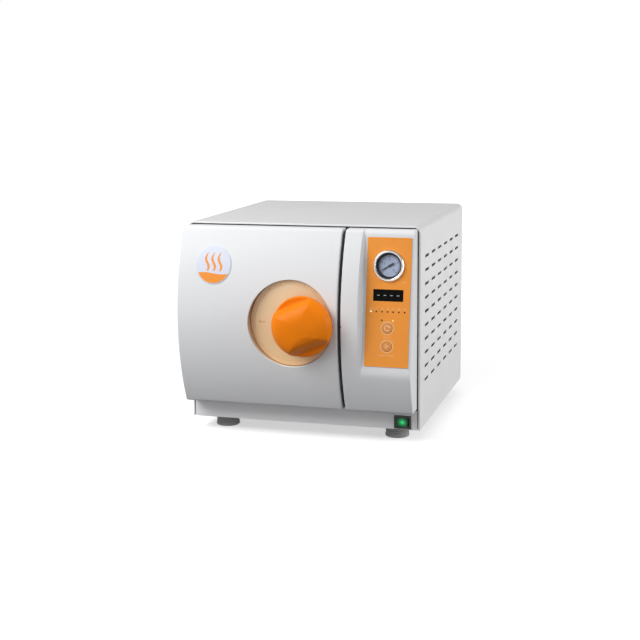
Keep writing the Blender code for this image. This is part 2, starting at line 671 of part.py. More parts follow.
def make_hinge():
    """Two cranked brackets on the front frame, and the pin that the door turns on."""
    for name, z in BRACKET_Z.items():
        bracket = rod(name, KNUCKLE_R, length(z), at(HINGE_X, HINGE_Y, z[0]), "up", STEEL)
        low, high = z[0] + 0.0002, z[1] - 0.0002
        arm = block(name + "_arm", (HINGE_X + 0.003, 0.0285), (-0.0200, -0.0130), (low, high))
        leg_z = (low + 0.0002, high - 0.0002)
        leg = block(name + "_leg", (0.0245, 0.0285), (-0.0199, FRAME_Y[0] - GAP), leg_z)
        foot = block(name + "_foot", (0.0250, 0.0520), (-0.0012, FRAME_Y[0] - 0.0005), (low, high))
        bore = rod(name + "_bore", PIN_BORE_R, 0.06, at(HINGE_X, HINGE_Y, z[0] - 0.02), "up", sides=16)
        cut(fuse(bracket, arm, leg, foot), bore)
    place = at(HINGE_X, HINGE_Y, BRACKET_Z["hinge_bracket_lower"][0] - 0.0015)
    pin_top = BRACKET_Z["hinge_bracket_upper"][1] + 0.0015
    pin_low = BRACKET_Z["hinge_bracket_lower"][0] - 0.0015
    rod("hinge_pin", PIN_R, pin_top - pin_low, place, "up", STEEL, sides=16)


def make_knob():
    """Domed disc with a wide grip between two flat-floored recesses, on a long hub."""
    profile = [
        (0, 0.0600), (0.020, 0.0590), (0.034, 0.0560), (0.0450, 0.0510), (0.0520, 0.0440),
        (0.0550, 0.0370), (KNOB_R, 0.0300), (0.0550, 0.0260), (HUB_R, 0.0260),
        (HUB_R, 0), (SHAFT_BORE_R, 0), (SHAFT_BORE_R, 0.0405), (0, 0.0405),
    ]
    knob = turned("knob", profile, at(KNOB_X, -0.050, KNOB_Z), "front", ORANGE, steps=32)
    for name, y in (("knob_recess_upper", (GRIP_HALF_W, 0.08)), ("knob_recess_lower", (-0.08, -GRIP_HALF_W))):
        recess = block(name, (-0.08, 0.08), y, (0.0330, 0.08), parent=knob)
        recess.rotation_euler.z = GRIP_TILT
        offset = Vector((0, middle(y), middle((0.0330, 0.08))))
        offset.rotate(Euler((0, 0, GRIP_TILT)))
        recess.location = offset
        cut(knob, recess)
    rod("knob_shaft", SHAFT_R, 0.0554, at(KNOB_X, -0.0346, KNOB_Z), "front", STEEL, sides=16)
    outline = [gear_outline(), circle(0, 0, SHAFT_BORE_R, 16)]
    place = at(KNOB_X, middle(RACK_Y), KNOB_Z)
    prism("lock_pinion", outline, length(RACK_Y), place, "front", STEEL)
    prism("lock_bolt", [bolt_outline()], length(RACK_Y), at(0, middle(RACK_Y), 0), "front", STEEL)


def make_keeper():
    """Angle on the front frame with the slot that the bolt's tongue enters."""
    x = FASCIA_X[0] + WALL + 0.0004
    keeper = block("lock_keeper", (x, x + 0.003), (-0.056, FRAME_Y[0] - GAP), (0.180, 0.226), STEEL)
    foot = block("keeper_foot", (x + 0.001, 0.333), (-0.0012, FRAME_Y[0] - 0.0005), (0.181, 0.225))
    slot = block("keeper_slot", (x - 0.01, x + 0.01), BOLT_SLOT_Y, BOLT_SLOT_Z)
    cut(fuse(keeper, foot), slot)


# ---------------------------------------------------------------- water, steam and power


def make_water_system():
    tank = block("water_tank", (0.312, 0.440), (0.190, 0.350), (0.215, 0.368), TANK)
    wall = 0.0025
    inner = (0.312 + wall, 0.440 - wall), (0.190 + wall, 0.350 - wall), (0.215 + wall, 0.368 - wall)
    neck = rod("tank_neck", 0.015, 0.02, at(0.376, 0.270, 0.358), "up", sides=16)
    cut(tank, block("tank_inside", *inner), neck)
    floor = SHEET + 0.001
    pump = block("water_pump", (0.335, 0.385), (0.240, 0.270), (floor, 0.050), BLACK)
    motor = rod("pump_motor", 0.019, 0.062, at(0.360, 0.268, 0.0265), "back", sides=20)
    port = rod("pump_port", 0.005, 0.012, at(0.345, 0.255, 0.048), "up", sides=12)
    fuse(pump, motor, port)
    valves = block("valve_block", (0.225, 0.290), (0.340, 0.400), (floor, 0.030), BRASS)
    for i, x in enumerate((0.242, 0.273)):
        fuse(valves, rod(f"valve_coil_{i}", 0.0125, 0.032, at(x, 0.358, 0.028), "up", sides=16))
    tube("exhaust_pipe", [
        (0.200, 0.3820, 0.255), (0.205, 0.400, 0.252), (0.250, 0.406, 0.190), (0.272, 0.400, 0.110),
        (0.262, 0.390, 0.060), (0.258, 0.388, 0.0305),
    ], 0.003, COPPER)
    tube("feed_pipe", [
        (0.345, 0.255, 0.0606), (0.345, 0.255, 0.070), (0.345, 0.258, 0.082), (0.325, 0.310, 0.105),
        (0.308, 0.380, 0.125),
        (0.250, 0.391, 0.143), (0.172, 0.394, 0.152), (0.160, 0.389, 0.153), (0.160, 0.3822, 0.153),
    ], 0.003, SILICONE)
    tube("gauge_line", [
        (0.399, -0.0030, 0.307), (0.397, 0.022, 0.305), (0.3075, 0.090, 0.300), (0.3075, 0.360, 0.300),
        (0.290, 0.402, 0.290), (0.238, 0.402, 0.278), (0.225, 0.391, 0.275), (0.225, 0.3822, 0.275),
    ], 0.002, COPPER)
    make_condenser()


def make_condenser():
    """Serpentine of five straight runs joined by half circles."""
    left, right, low, pitch, y = 0.347, 0.413, 0.074, 0.018, 0.385
    points = []
    for run in range(5):
        z = low + run * pitch
        ends = (left, right) if run % 2 == 0 else (right, left)
        points += [(ends[0], y, z), (ends[1], y, z)]
        if run < 4:
            turn = 1 if run % 2 == 0 else -1
            bend = arc(ends[1], z + pitch / 2, pitch / 2, -RIGHT_ANGLE, -RIGHT_ANGLE + turn * math.pi, 6)
            points += [(bx, y, bz) for bx, bz in bend[1:-1]]
    wire("condenser_coil", [at(*point) for point in points], 0.004, COPPER)


def make_fan():
    half = 0.040
    x, z = (FAN_X - half, FAN_X + half), (FAN_Z - half, FAN_Z + half)
    housing = block("fan_housing", x, (0.4060, REAR_Y[0] - 0.0005), z, BLACK)
    cut(housing, rod("fan_bore", 0.0375, 0.1, at(FAN_X, 0.38, FAN_Z), "back", sides=32))
    fuse(housing, rod("fan_motor", 0.0150, 0.004, at(FAN_X, 0.4065, FAN_Z), "back", sides=20))
    for i in range(2):
        spans = (-0.0385, 0.0385), (-0.0012, 0.0012), (-0.002, 0.002)
        strut = block(f"fan_strut_{i}", *spans, parent=FAN_AXIS)
        strut.rotation_euler.y = i * RIGHT_ANGLE
        strut.location = (0, -0.011, 0)
        fuse(housing, strut)
    rotor = rod("fan_rotor", 0.0150, 0.0160, at(FAN_X, 0.4125, FAN_Z), "back", BLACK, sides=20)
    for i in range(7):
        blade = block(f"fan_blade_{i}", (0.013, 0.0350), (-0.0075, 0.0075), (0.0072, 0.0088), parent=rotor)
        angle = i * 2 * math.pi / 7
        blade.rotation_euler = Euler((0.55, 0, angle))
        blade.location = Vector((0.024 * math.cos(angle), 0.024 * math.sin(angle), 0.008))
        fuse(rotor, blade)
    half = 0.041
    slots = [
        rectangle((FAN_X - 0.033 + 0.0120 * i, FAN_X - 0.027 + 0.0120 * i), (FAN_Z - 0.030, FAN_Z + 0.030))
        for i in range(6)
    ]
    outline = [rectangle((FAN_X - half, FAN_X + half), (FAN_Z - half, FAN_Z + half))] + slots
    prism("fan_grille", outline, 0.002, at(0, REAR_Y[1] + GAP + 0.001, 0), "front", STEEL)


def make_electrics():
    floor = SHEET + 0.001
    supply = block("power_supply", (0.325, 0.425), (0.035, 0.135), (floor, 0.030), ALUMINIUM)
    for i in range(7):
        x = 0.3255 + 0.0160 * i
        fuse(supply, block(f"supply_fin_{i}", (x, x + 0.0025), (0.0355, 0.1345), (0.025, 0.050)))
    board = block("main_board", (0.4400, 0.4416), (0.030, 0.180), (0.070, 0.200), GREEN_BOARD)
    parts = (
        ((0.4200, 0.4405), (0.040, 0.070), (0.080, 0.105)),
        ((0.4200, 0.4405), (0.080, 0.110), (0.080, 0.105)),
        ((0.4300, 0.4405), (0.125, 0.165), (0.085, 0.120)),
        ((0.4360, 0.4405), (0.050, 0.085), (0.130, 0.165)),
        ((0.4280, 0.4405), (0.110, 0.165), (0.175, 0.190)),
    )
    for i, spans in enumerate(parts):
        fuse(board, block(f"board_part_{i}", *spans))
    outer_y = REAR_Y[1] + GAP
    flange = rectangle((INLET_X - 0.025, INLET_X + 0.025), (INLET_Z - 0.014, INLET_Z + 0.014))
    inlet = prism("inlet_socket", [flange], 0.003, at(0, outer_y + 0.0015, 0), "front", BLACK)
    body = block("inlet_body", (INLET_X - 0.014, INLET_X + 0.014), (0.415, outer_y + 0.001),
                 (INLET_Z - 0.0105, INLET_Z + 0.0105))
    hollow = block("inlet_hollow", (INLET_X - 0.0122, INLET_X + 0.0122), (0.4215, 0.46),
                   (INLET_Z - 0.0082, INLET_Z + 0.0082))
    cut(fuse(inlet, body), hollow)
    for i, (x, z) in enumerate(((-0.007, -0.002), (0.0, 0.002), (0.007, -0.002))):
        x, z = INLET_X + x, INLET_Z + z
        pin = block(f"inlet_pin_{i}", (x - 0.001, x + 0.001), (0.419, 0.4345), (z - 0.002, z + 0.002))
        fuse(inlet, pin)


def make_rear_fittings():
    outer_y = REAR_Y[1] + GAP
    tip = CABINET_D + REAR_REACH
    root = 0.420
    for name, x in HOSE_X.items():
        barb = [
            (0, tip - root), (0.0042, tip - root), (0.0062, tip - root - 0.007),
            (0.0048, tip - root - 0.0072), (0.0062, tip - root - 0.014), (0.0048, tip - root - 0.0142),
            (0.0048, outer_y - root + 0.006), (0.0100, outer_y - root + 0.006), (0.0100, outer_y - root),
            (0.0065, outer_y - root), (0.0065, 0), (0, 0),
        ]
        turned(name, barb, at(x, root, HOSE_Z), "back", BRASS, steps=16)
    start = CHAMBER_BACK_Y + CHAMBER_WALL + GAP
    valve = [
        (0, 0.0640), (0.0065, 0.0640), (0.0085, 0.0620), (0.0085, 0.0520), (0.0120, 0.0500),
        (0.0120, 0.0360), (0.0090, 0.0350), (0.0090, 0.0100), (0.0110, 0.0090), (0.0110, 0), (0, 0),
    ]
    turned("safety_valve", valve, at(CHAMBER_X, start, VALVE_Z), "back", BRASS, steps=20)
    section = [(0.0075 + x, y) for x, y in circle(0, 0, 0.0014, 8)]
    ring_y = start + 0.0640 + GAP + 0.0022 + 0.0075
    pull = turned("valve_pull_ring", section[::-1], at(CHAMBER_X, ring_y, VALVE_Z), "right", STEEL,
                  steps=20, closed=True)
    stem = rod("pull_stem", 0.0016, 0.0025, at(CHAMBER_X, start + 0.0640 + GAP, VALVE_Z), "back", sides=8)
    fuse(pull, stem)
    body = [
        (0, 0.0400), (0.0220, 0.0400), (0.0240, 0.0380), (0.0240, 0.0200), (0.0220, 0.0180),
        (0.0080, 0.0180), (0.0080, 0), (0, 0),
    ]
    turned("air_filter", body, at(FILTER_X, root, FILTER_Z), "back", PALE, steps=28)


clear_scene()
PARTS = collection("benchtop_autoclave")
CUTTERS = collection("cutters")

WHITE = finish_of("White powder coat", (0.80, 0.80, 0.81), 0.45)
ORANGE = finish_of("Orange plastic", (0.93, 0.32, 0.03), 0.35)
CREAM = finish_of("Cream dial", (0.78, 0.62, 0.42), 0.5)
PALE = finish_of("Pale print", (0.85, 0.87, 0.92), 0.4)
CHROME = finish_of("Chrome", (0.80, 0.80, 0.80), 0.12, 1.0)
GLASS = finish_of("Gauge glass", (0.9, 0.95, 1.0), 0.05, 0.0, 0.35)
BLACK = finish_of("Black plastic", (0.02, 0.02, 0.02), 0.4)
BLACK_GLOSS = finish_of("Black window", (0.01, 0.01, 0.01), 0.1)
GREEN_LENS = finish_of("Green rocker", (0.02, 0.45, 0.15), 0.2)
GREEN_BOARD = finish_of("Circuit board", (0.02, 0.20, 0.07), 0.5)
GREY_RUBBER = finish_of("Grey rubber", (0.20, 0.20, 0.20), 0.8)
GREY_METAL = finish_of("Grey steel", (0.45, 0.46, 0.47), 0.45, 0.6)
STEEL = finish_of("Stainless steel", (0.62, 0.62, 0.63), 0.28, 1.0)
CAST = finish_of("Cast aluminium", (0.55, 0.55, 0.56), 0.5, 0.9)
ALUMINIUM = finish_of("Aluminium", (0.75, 0.76, 0.77), 0.35, 1.0)
BRASS = finish_of("Brass", (0.72, 0.52, 0.22), 0.3, 1.0)
COPPER = finish_of("Copper", (0.72, 0.38, 0.24), 0.3, 1.0)
BROWN_METAL = finish_of("Heater sheath", (0.35, 0.25, 0.18), 0.5, 0.8)
SILICONE = finish_of("Silicone", (0.75, 0.74, 0.70), 0.6)
WOOL = finish_of("Insulation", (0.75, 0.73, 0.62), 0.95)
TANK = finish_of("Tank plastic", (0.82, 0.84, 0.86), 0.35)

PANEL = bpy.data.objects.new("panel_datum", None)
PANEL.location = at(0, -FACET_LOW[0], FACET_LOW[1])
PANEL.rotation_euler.x = -FACET_TILT
PARTS.objects.link(PANEL)
FAN_AXIS = bpy.data.objects.new("fan_axis", None)
FAN_AXIS.location = at(FAN_X, 0.420, FAN_Z)
PARTS.objects.link(FAN_AXIS)

make_cover()
make_base()
make_feet()
make_frame_plates()
make_fascia()
make_control_plate()
make_gauge()
make_switch()
make_chamber()
make_trays()
make_door_cover()
make_dial()
make_door_inside()
make_hinge()
make_knob()
make_keeper()
make_water_system()
make_fan()
make_electrics()
make_rear_fittings()
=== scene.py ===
"""Looks of the benchtop autoclave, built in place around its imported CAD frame.

Points are given from the lower left front corner of the cabinet: x to the right, y backwards and z
up, in metres. at() turns them into the frame's own coordinates, and panel() does the same for
points on the sloping facet that carries the control plate.
"""

import math

import bmesh
import bpy
from mathutils import Matrix, Vector


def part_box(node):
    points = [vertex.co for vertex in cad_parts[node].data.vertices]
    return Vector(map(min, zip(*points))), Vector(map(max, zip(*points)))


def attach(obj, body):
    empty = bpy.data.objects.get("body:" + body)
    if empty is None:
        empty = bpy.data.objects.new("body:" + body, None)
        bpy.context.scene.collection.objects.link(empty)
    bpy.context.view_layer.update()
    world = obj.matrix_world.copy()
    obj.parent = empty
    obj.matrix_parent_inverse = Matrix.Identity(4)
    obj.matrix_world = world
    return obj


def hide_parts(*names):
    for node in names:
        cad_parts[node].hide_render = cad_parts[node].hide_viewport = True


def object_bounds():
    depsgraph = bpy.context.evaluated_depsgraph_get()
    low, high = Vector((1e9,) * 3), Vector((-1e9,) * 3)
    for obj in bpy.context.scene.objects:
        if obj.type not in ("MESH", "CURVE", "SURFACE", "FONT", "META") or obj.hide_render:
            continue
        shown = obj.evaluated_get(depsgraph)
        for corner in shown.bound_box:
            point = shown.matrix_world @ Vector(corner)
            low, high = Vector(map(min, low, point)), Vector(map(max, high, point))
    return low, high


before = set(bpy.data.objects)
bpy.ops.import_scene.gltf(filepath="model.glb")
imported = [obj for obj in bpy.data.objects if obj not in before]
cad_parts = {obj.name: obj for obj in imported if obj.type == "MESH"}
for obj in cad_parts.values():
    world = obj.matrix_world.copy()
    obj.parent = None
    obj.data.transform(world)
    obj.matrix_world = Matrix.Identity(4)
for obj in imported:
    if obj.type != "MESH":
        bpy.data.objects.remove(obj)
CAD_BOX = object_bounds()

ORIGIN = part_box("cabinet_cover")[0]


def span(node, axis):
    """Extent of a CAD node along an axis, from the cabinet's corner."""
    low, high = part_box(node)
    index = "xyz".index(axis)
    return low[index] - ORIGIN[index], high[index] - ORIGIN[index]


def middle(pair):
    return (pair[0] + pair[1]) / 2


def length(pair):
    return pair[1] - pair[0]


def grown(pair, by):
    return pair[0] - by, pair[1] + by


def about(centre, half):
    return centre - half, centre + half


def series(first, pitch, count):
    return [first + i * pitch for i in range(count)]


def centre_of(node, axes="xz"):
    """Middle of a CAD node from the cabinet's corner, across and up unless other axes are asked."""
    return tuple(middle(span(node, axis)) for axis in axes)


RIGHT_ANGLE = math.pi / 2
HAIR = 0.0003  # gap between pieces that touch
EDGE_ANGLE = math.radians(38)  # bend from which an edge of a CAD node counts as sharp

# Cabinet
CABINET_W, CABINET_D, CABINET_H = (length(span("cabinet_cover", axis)) for axis in "xyz")
SHEET = 0.0015
EASED = 0.0002  # rounding of a thin sheet's edges
SCREW_R, SMALL_SCREW_R = 0.0032, 0.0026
BEND_R = 0.012
LIP = 0.0035
FRONT_EDGE_R = 0.0012
VENT_ROWS, VENT_COLUMNS = 10, 6
VENT_SIZE = (0.035, 0.005)
VENT_FIRST = (0.06, 0.0867)
VENT_PITCH = (0.0616, 0.026)

# Bulged front of the door and of the fascia
BULGE_R, BULGE_DEPTH, BULGE_Z = 0.382, 0.069, 0.197
DOOR_TRIM, FASCIA_TRIM = 0.0012, 0.0024  # what each side gives up to widen the seam
DOOR_X = (span("door_cover", "x")[0], span("door_cover", "x")[1] - DOOR_TRIM)
FRONT_Z = span("door_cover", "z")
FASCIA_X = (span("control_fascia", "x")[0] + FASCIA_TRIM, span("control_fascia", "x")[1])
FRONT_TOP_R, FRONT_BOTTOM_R, FRONT_SIDE_R = 0.011, 0.0055, 0.0025
FRONT_BACK_Y = -0.0015
WALL = 0.0025
LOCK_Y, LOCK_Z = (-0.048, -0.037), (0.1935, 0.2125)  # slot that the lock bolt passes through
WINDOW = centre_of("door_dial")
WINDOW_R = 0.0805
RIM_R = 0.0014
ROUND = 160  # sides of the large circles
DIAL_Y = span("door_dial", "y")
KNOB = centre_of("knob")
KNOB_R = length(span("knob", "x")) / 2
GRIP_TILT = math.radians(23)
GRIP_HALF = 0.0425
BADGE = centre_of("door_badge")
BADGE_R = length(span("door_badge", "x")) / 2

# Facet of the fascia
FACET_X = 0.3512
FACET_LOW = (0.058, 0.131)
FACET_TILT = math.atan2(0.033, 0.229)
PLATE_X = span("control_plate", "x")
PLATE_T = 0.0012
PLATE_OUT = HAIR + PLATE_T
GAUGE = (0.3991, 0.312)
DISPLAY_X, DISPLAY_Z = (0.372, 0.427), (0.249, 0.2695)
LAMP_ROW = (0.3682, 0.01038, 7), 0.23  # first x, pitch and count, then height
LAMP_PAIR = (0.389, 0.0205, 2), 0.2145
KEY_X, KEY_R = 0.3996, 0.01
KEY_Z = {"select_button": 0.2008, "start_button": 0.1684}

# Apron of the base pan and its power switch
APRON_H = span("base_pan", "z")[1]
SWITCH = centre_of("switch_bezel")
SWITCH_MIDDLE = (SWITCH[0], 0.0, SWITCH[1])

# Chamber, on an axis along Y, and the rear fittings
CHAMBER = centre_of("chamber_vessel")
FLANGE_R = length(span("chamber_vessel", "x")) / 2
CHAMBER_R, CHAMBER_WALL = 0.115, 0.0025
CHAMBER_Y = (-0.006, 0.379)
HINGE = (0.012, -0.016)
KNUCKLE_R, HINGE_BORE_R = 0.0079, 0.0044
FOOT_Y = -0.0014  # front of the feet of the hinge cranks and the keeper
TRAYS = ("tray_lower", "tray_middle", "tray_upper")
HOSES = ("drain_fitting", "fill_fitting")
FITTING_ROOT = 0.42
VALVE_Z = middle(span("safety_valve", "z"))
HOSE_Z = middle(span("drain_fitting", "z"))
FILTER = centre_of("air_filter")
INLET = centre_of("inlet_socket")
FAN = centre_of("fan_housing")
FAN_R = 0.036

# Studio: places in metres, directions as azimuth and elevation in degrees
AIM_DEPTH = 0.15
CAMERA_PLACE = (0.90595, -2.20223, 0.63769)
CAMERA_DIRECTION, CAMERA_ROLL = (16.367, 10.775), -0.557
LENS, SENSOR = 70.34, 36.0
FLOOR_R, GLOW_START, GLOW_END = 60.0, 0.6, 3.0
ROOM = ((0.0, 0.08), (0.47, 0.08), (0.492, 1.0), (0.556, 1.0), (0.571, 0.44), (1.0, 0.48))  # height, level

FLIPPED = Matrix.Rotation(math.pi, 4, "X")


def at(x, y, z):
    return ORIGIN + Vector((x, y, z))


def panel(x, out, up):
    """A point on the facet: across the cabinet, out of the facet and up along it."""
    y = -FACET_LOW[0] - out * math.cos(FACET_TILT) + up * math.sin(FACET_TILT)
    z = FACET_LOW[1] + out * math.sin(FACET_TILT) + up * math.cos(FACET_TILT)
    return at(x, y, z)


def up_facet(z):
    return (z - FACET_LOW[1]) / math.cos(FACET_TILT)


def facing(place, direction, roll=0.0):
    """A frame at a place, given from the cabinet's corner, whose Z runs along the direction."""
    turn = {
        "up": Matrix.Identity(4),
        "down": Matrix.Rotation(math.pi, 4, "X"),
        "front": Matrix.Rotation(RIGHT_ANGLE, 4, "X"),
        "back": Matrix.Rotation(-RIGHT_ANGLE, 4, "X"),
        "right": Matrix.Rotation(RIGHT_ANGLE, 4, "Y"),
        "left": Matrix.Rotation(-RIGHT_ANGLE, 4, "Y"),
        "sideways": Matrix.Rotation(RIGHT_ANGLE, 4, "Z") @ Matrix.Rotation(RIGHT_ANGLE, 4, "X"),
    }[direction]
    return Matrix.Translation(at(*place)) @ turn @ Matrix.Rotation(roll, 4, "Z")


def shifted(place, across=0.0, up=0.0, out=0.0):
    """The frame moved along its own axes."""
    return place @ Matrix.Translation((across, up, out))


def polar(radius, angle):
    return Vector((radius * math.cos(angle), radius * math.sin(angle)))


def toward(direction):
    """Unit vector to a place around the object, the azimuth running from the front to the right."""
    azimuth, elevation = map(math.radians, direction)
    level = math.cos(elevation)
    return Vector((math.sin(azimuth) * level, -math.cos(azimuth) * level, math.sin(elevation)))


def on_panel(x, out, up):
    """A frame on the facet whose Z points out of it, X across and Y up."""
    tilt = Matrix.Rotation(RIGHT_ANGLE - FACET_TILT, 4, "X")
    return Matrix.Translation(panel(x, out, up)) @ tilt


# ---------------------------------------------------------------- outlines


def arc(cx, cy, radius, start, end, segments):
    angles = [start + (end - start) * i / segments for i in range(segments + 1)]
    return [Vector((cx + radius * math.cos(a), cy + radius * math.sin(a))) for a in angles]


def circle(cx, cy, radius, sides=96):
    return arc(cx, cy, radius, 0, 2 * math.pi, sides)[:-1]


def rounded(points, radius, steps=5, closed=True):
    """The outline with its corners made arcs of a radius, or of one radius for each corner."""
    points = [Vector(point) for point in points]
    made = []
    for i, here in enumerate(points):
        wanted = radius[i] if isinstance(radius, (list, tuple)) else radius
        if wanted <= 0 or (not closed and i in (0, len(points) - 1)):
            made.append(here)
            continue
        back, forward = points[i - 1] - here, points[(i + 1) % len(points)] - here
        half = back.angle(forward) / 2
        if half > RIGHT_ANGLE - 0.01:
            made.append(here)
            continue
        reach = min(wanted / math.tan(half), 0.49 * back.length, 0.49 * forward.length)
        actual = reach * math.tan(half)
        back.normalize()
        forward.normalize()
        centre = here + (back + forward).normalized() * (actual / math.sin(half))
        first, last = here + back * reach - centre, here + forward * reach - centre
        sweep = first.angle(last)
        for k in range(steps + 1):
            t = k / steps
            mix = first * math.sin((1 - t) * sweep) + last * math.sin(t * sweep)
            made.append(centre + mix / math.sin(sweep))
    return made


def rectangle(x, y, radius=0.0, steps=4):
    corners = [(x[0], y[0]), (x[1], y[0]), (x[1], y[1]), (x[0], y[1])]
    return rounded(corners, radius, steps) if radius else [Vector(corner) for corner in corners]


def centred(width, height, radius=0.0, cx=0.0, cy=0.0):
    half_w, half_h = width / 2, height / 2
    return rectangle((cx - half_w, cx + half_w), (cy - half_h, cy + half_h), radius)


# ---------------------------------------------------------------- meshes


def linked(name, data):
    """A new object in the scene that holds the data."""
    obj = bpy.data.objects.new(name, data)
    bpy.context.scene.collection.objects.link(obj)
    return obj


def neighbours(rings, closed):
    return zip(rings, rings[1:] + rings[:1]) if closed else zip(rings, rings[1:])


def loft(sections, closed=False):
    """Faces between rings of points. The rings are closed, and so is the run of them if closed."""
    bm = bmesh.new()
    rings = [[bm.verts.new(point) for point in section] for section in sections]
    for first, second in neighbours(rings, closed):
        for i in range(len(first)):
            j = (i + 1) % len(first)
            bm.faces.new((first[i], first[j], second[j], second[i]))
    if not closed:
        bm.faces.new(rings[0])
        bm.faces.new(rings[-1][::-1])
    return bm


def lathe(profile, place, steps=96, closed=False):
    """A profile of (radius, height) points turned about the Z axis of a frame."""
    bm = bmesh.new()
    rings = []
    for radius, height in profile:
        around = circle(0, 0, radius, steps) if radius > 0 else [(0, 0)]
        rings.append([bm.verts.new(place @ Vector((x, y, height))) for x, y in around])
    for first, second in neighbours(rings, closed):
        for i in range(steps):
            j = (i + 1) % steps
            corners = [first[i % len(first)], first[j % len(first)]]
            corners += [second[j % len(second)], second[i % len(second)]]
            corners = list(dict.fromkeys(corners))
            if len(corners) > 2:
                bm.faces.new(corners)
    return bm


def turned(profile, radius, place, sides=96, steps=3):
    """A lathed profile whose corners are rounded, by one radius or by one for each corner."""
    return lathe(rounded(profile, radius, steps, closed=False), place, sides)


def rod(radius, depth, place, direction, sides=40):
    return lathe([(0, depth), (radius, depth), (radius, 0), (0, 0)], facing(place, direction), sides)


def plate(outlines, depth, place, edge=0.0):
    """A flat plate with holes, its edges rounded, centred on the plane of a frame."""
    curve = bpy.data.curves.new("outline", "CURVE")
    curve.dimensions = "2D"
    curve.fill_mode = "BOTH"
    curve.extrude = depth / 2 - edge
    curve.bevel_depth = edge
    curve.bevel_resolution = 1
    curve.offset = -edge
    for number, outline in enumerate(outlines):
        area = sum(a.x * b.y - b.x * a.y for a, b in zip(outline, outline[1:] + outline[:1]))
        if (area > 0) == (number > 0):
            outline = outline[::-1]
        spline = curve.splines.new("POLY")
        spline.points.add(len(outline) - 1)
        spline.use_cyclic_u = True
        for point, (u, v) in zip(spline.points, outline):
            point.co = (u, v, 0, 1)
    bm = mesh_of_curve(curve)
    bm.transform(place)
    return bm


def mesh_of_curve(curve):
    guide = linked("guide", curve)
    graph = bpy.context.evaluated_depsgraph_get()
    filled = bpy.data.meshes.new_from_object(guide.evaluated_get(graph))
    bpy.data.objects.remove(guide)
    bpy.data.curves.remove(curve)
    bm = bmesh.new()
    bm.from_mesh(filled)
    bpy.data.meshes.remove(filled)
    bmesh.ops.remove_doubles(bm, verts=bm.verts, dist=0.000002)
    return bm


def box(x, y, z, radius=0.0, segments=3, place=None):
    """A box between three (low, high) spans with rounded edges."""
    bm = bmesh.new()
    bmesh.ops.create_cube(bm, size=1.0)
    bmesh.ops.scale(bm, vec=(length(x), length(y), length(z)), verts=bm.verts)
    if radius:
        bmesh.ops.bevel(
            bm, geom=bm.edges, offset=radius, segments=segments, profile=0.5, affect="EDGES"
        )
    centre = Vector((middle(x), middle(y), middle(z)))
    bmesh.ops.translate(bm, vec=centre if place else at(*centre), verts=bm.verts)
    if place:
        bm.transform(place)
    return bm


def joined(*parts):
    """One bmesh holding several."""
    whole = bmesh.new()
    for part in parts:
        mesh = bpy.data.meshes.new("part")
        part.to_mesh(mesh)
        part.free()
        whole.from_mesh(mesh)
        bpy.data.meshes.remove(mesh)
    return whole


def carve(bm, cutters, operation="DIFFERENCE"):
    """The mesh after a Boolean with each cutter in turn."""
    obj = loose_object(bm)
    for cutter in cutters:
        tool = loose_object(cutter)
        change = obj.modifiers.new("carve", "BOOLEAN")
        change.operation = operation
        change.solver = "EXACT"
        change.object = tool
    result = settled(obj)
    for change in obj.modifiers:
        bpy.data.objects.remove(change.object)
    bpy.data.objects.remove(obj)
    return result


def loose_object(bm):
    mesh = bpy.data.meshes.new("loose")
    bmesh.ops.recalc_face_normals(bm, faces=bm.faces)
    bm.to_mesh(mesh)
    bm.free()
    return linked("loose", mesh)


def settled(obj):
    """A bmesh of an object with its modifiers applied."""
    graph = bpy.context.evaluated_depsgraph_get()
    mesh = bpy.data.meshes.new_from_object(obj.evaluated_get(graph))
    bm = bmesh.new()
    bm.from_mesh(mesh)
    bpy.data.meshes.remove(mesh)
    return bm


def softened(bm, width, segments=2, angle=40):
    """The mesh with its sharp edges rounded."""
    obj = loose_object(bm)
    bevel = obj.modifiers.new("soften", "BEVEL")
    bevel.width = width
    bevel.segments = segments
    bevel.limit_method = "ANGLE"
    bevel.angle_limit = math.radians(angle)
    bevel.use_clamp_overlap = True
    result = settled(obj)
    bpy.data.objects.remove(obj)
    return result


def melted(bm, voxel, rounds):
    """The mesh rebuilt in small even faces and smoothed, which rounds every edge."""
    obj = loose_object(bm)
    remesh = obj.modifiers.new("melt", "REMESH")
    remesh.mode = "VOXEL"
    remesh.voxel_size = voxel
    smooth = obj.modifiers.new("smooth", "SMOOTH")
    smooth.factor = 0.5
    smooth.iterations = rounds
    result = settled(obj)
    bpy.data.objects.remove(obj)
    return result


def piece(name, bm, material, body="cabinet", stands_for=(), crease=35):
    """Turns a mesh into a shown piece that rides on a CAD body."""
    mesh = bpy.data.meshes.new(name)
    bmesh.ops.recalc_face_normals(bm, faces=bm.faces)
    bm.to_mesh(mesh)
    bm.free()
    mesh.materials.clear()
    mesh.materials.append(material)
    mesh.shade_smooth()
    mesh.set_sharp_from_angle(angle=math.radians(crease))
    obj = linked(name, mesh)
    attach(obj, body)
    obj.modifiers.new("weighted_normals", "WEIGHTED_NORMAL").keep_sharp = True
    if stands_for:
        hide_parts(*([stands_for] if isinstance(stands_for, str) else stands_for))
    return obj


# ---------------------------------------------------------------- materials


def srgb(red, green, blue):
    """A colour as it looks on a screen, 0 to 255, made the linear one that shaders take."""
    shares = [value / 255 for value in (red, green, blue)]
    linear = [s / 12.92 if s <= 0.04045 else ((s + 0.055) / 1.055) ** 2.4 for s in shares]
    return (*linear, 1.0)


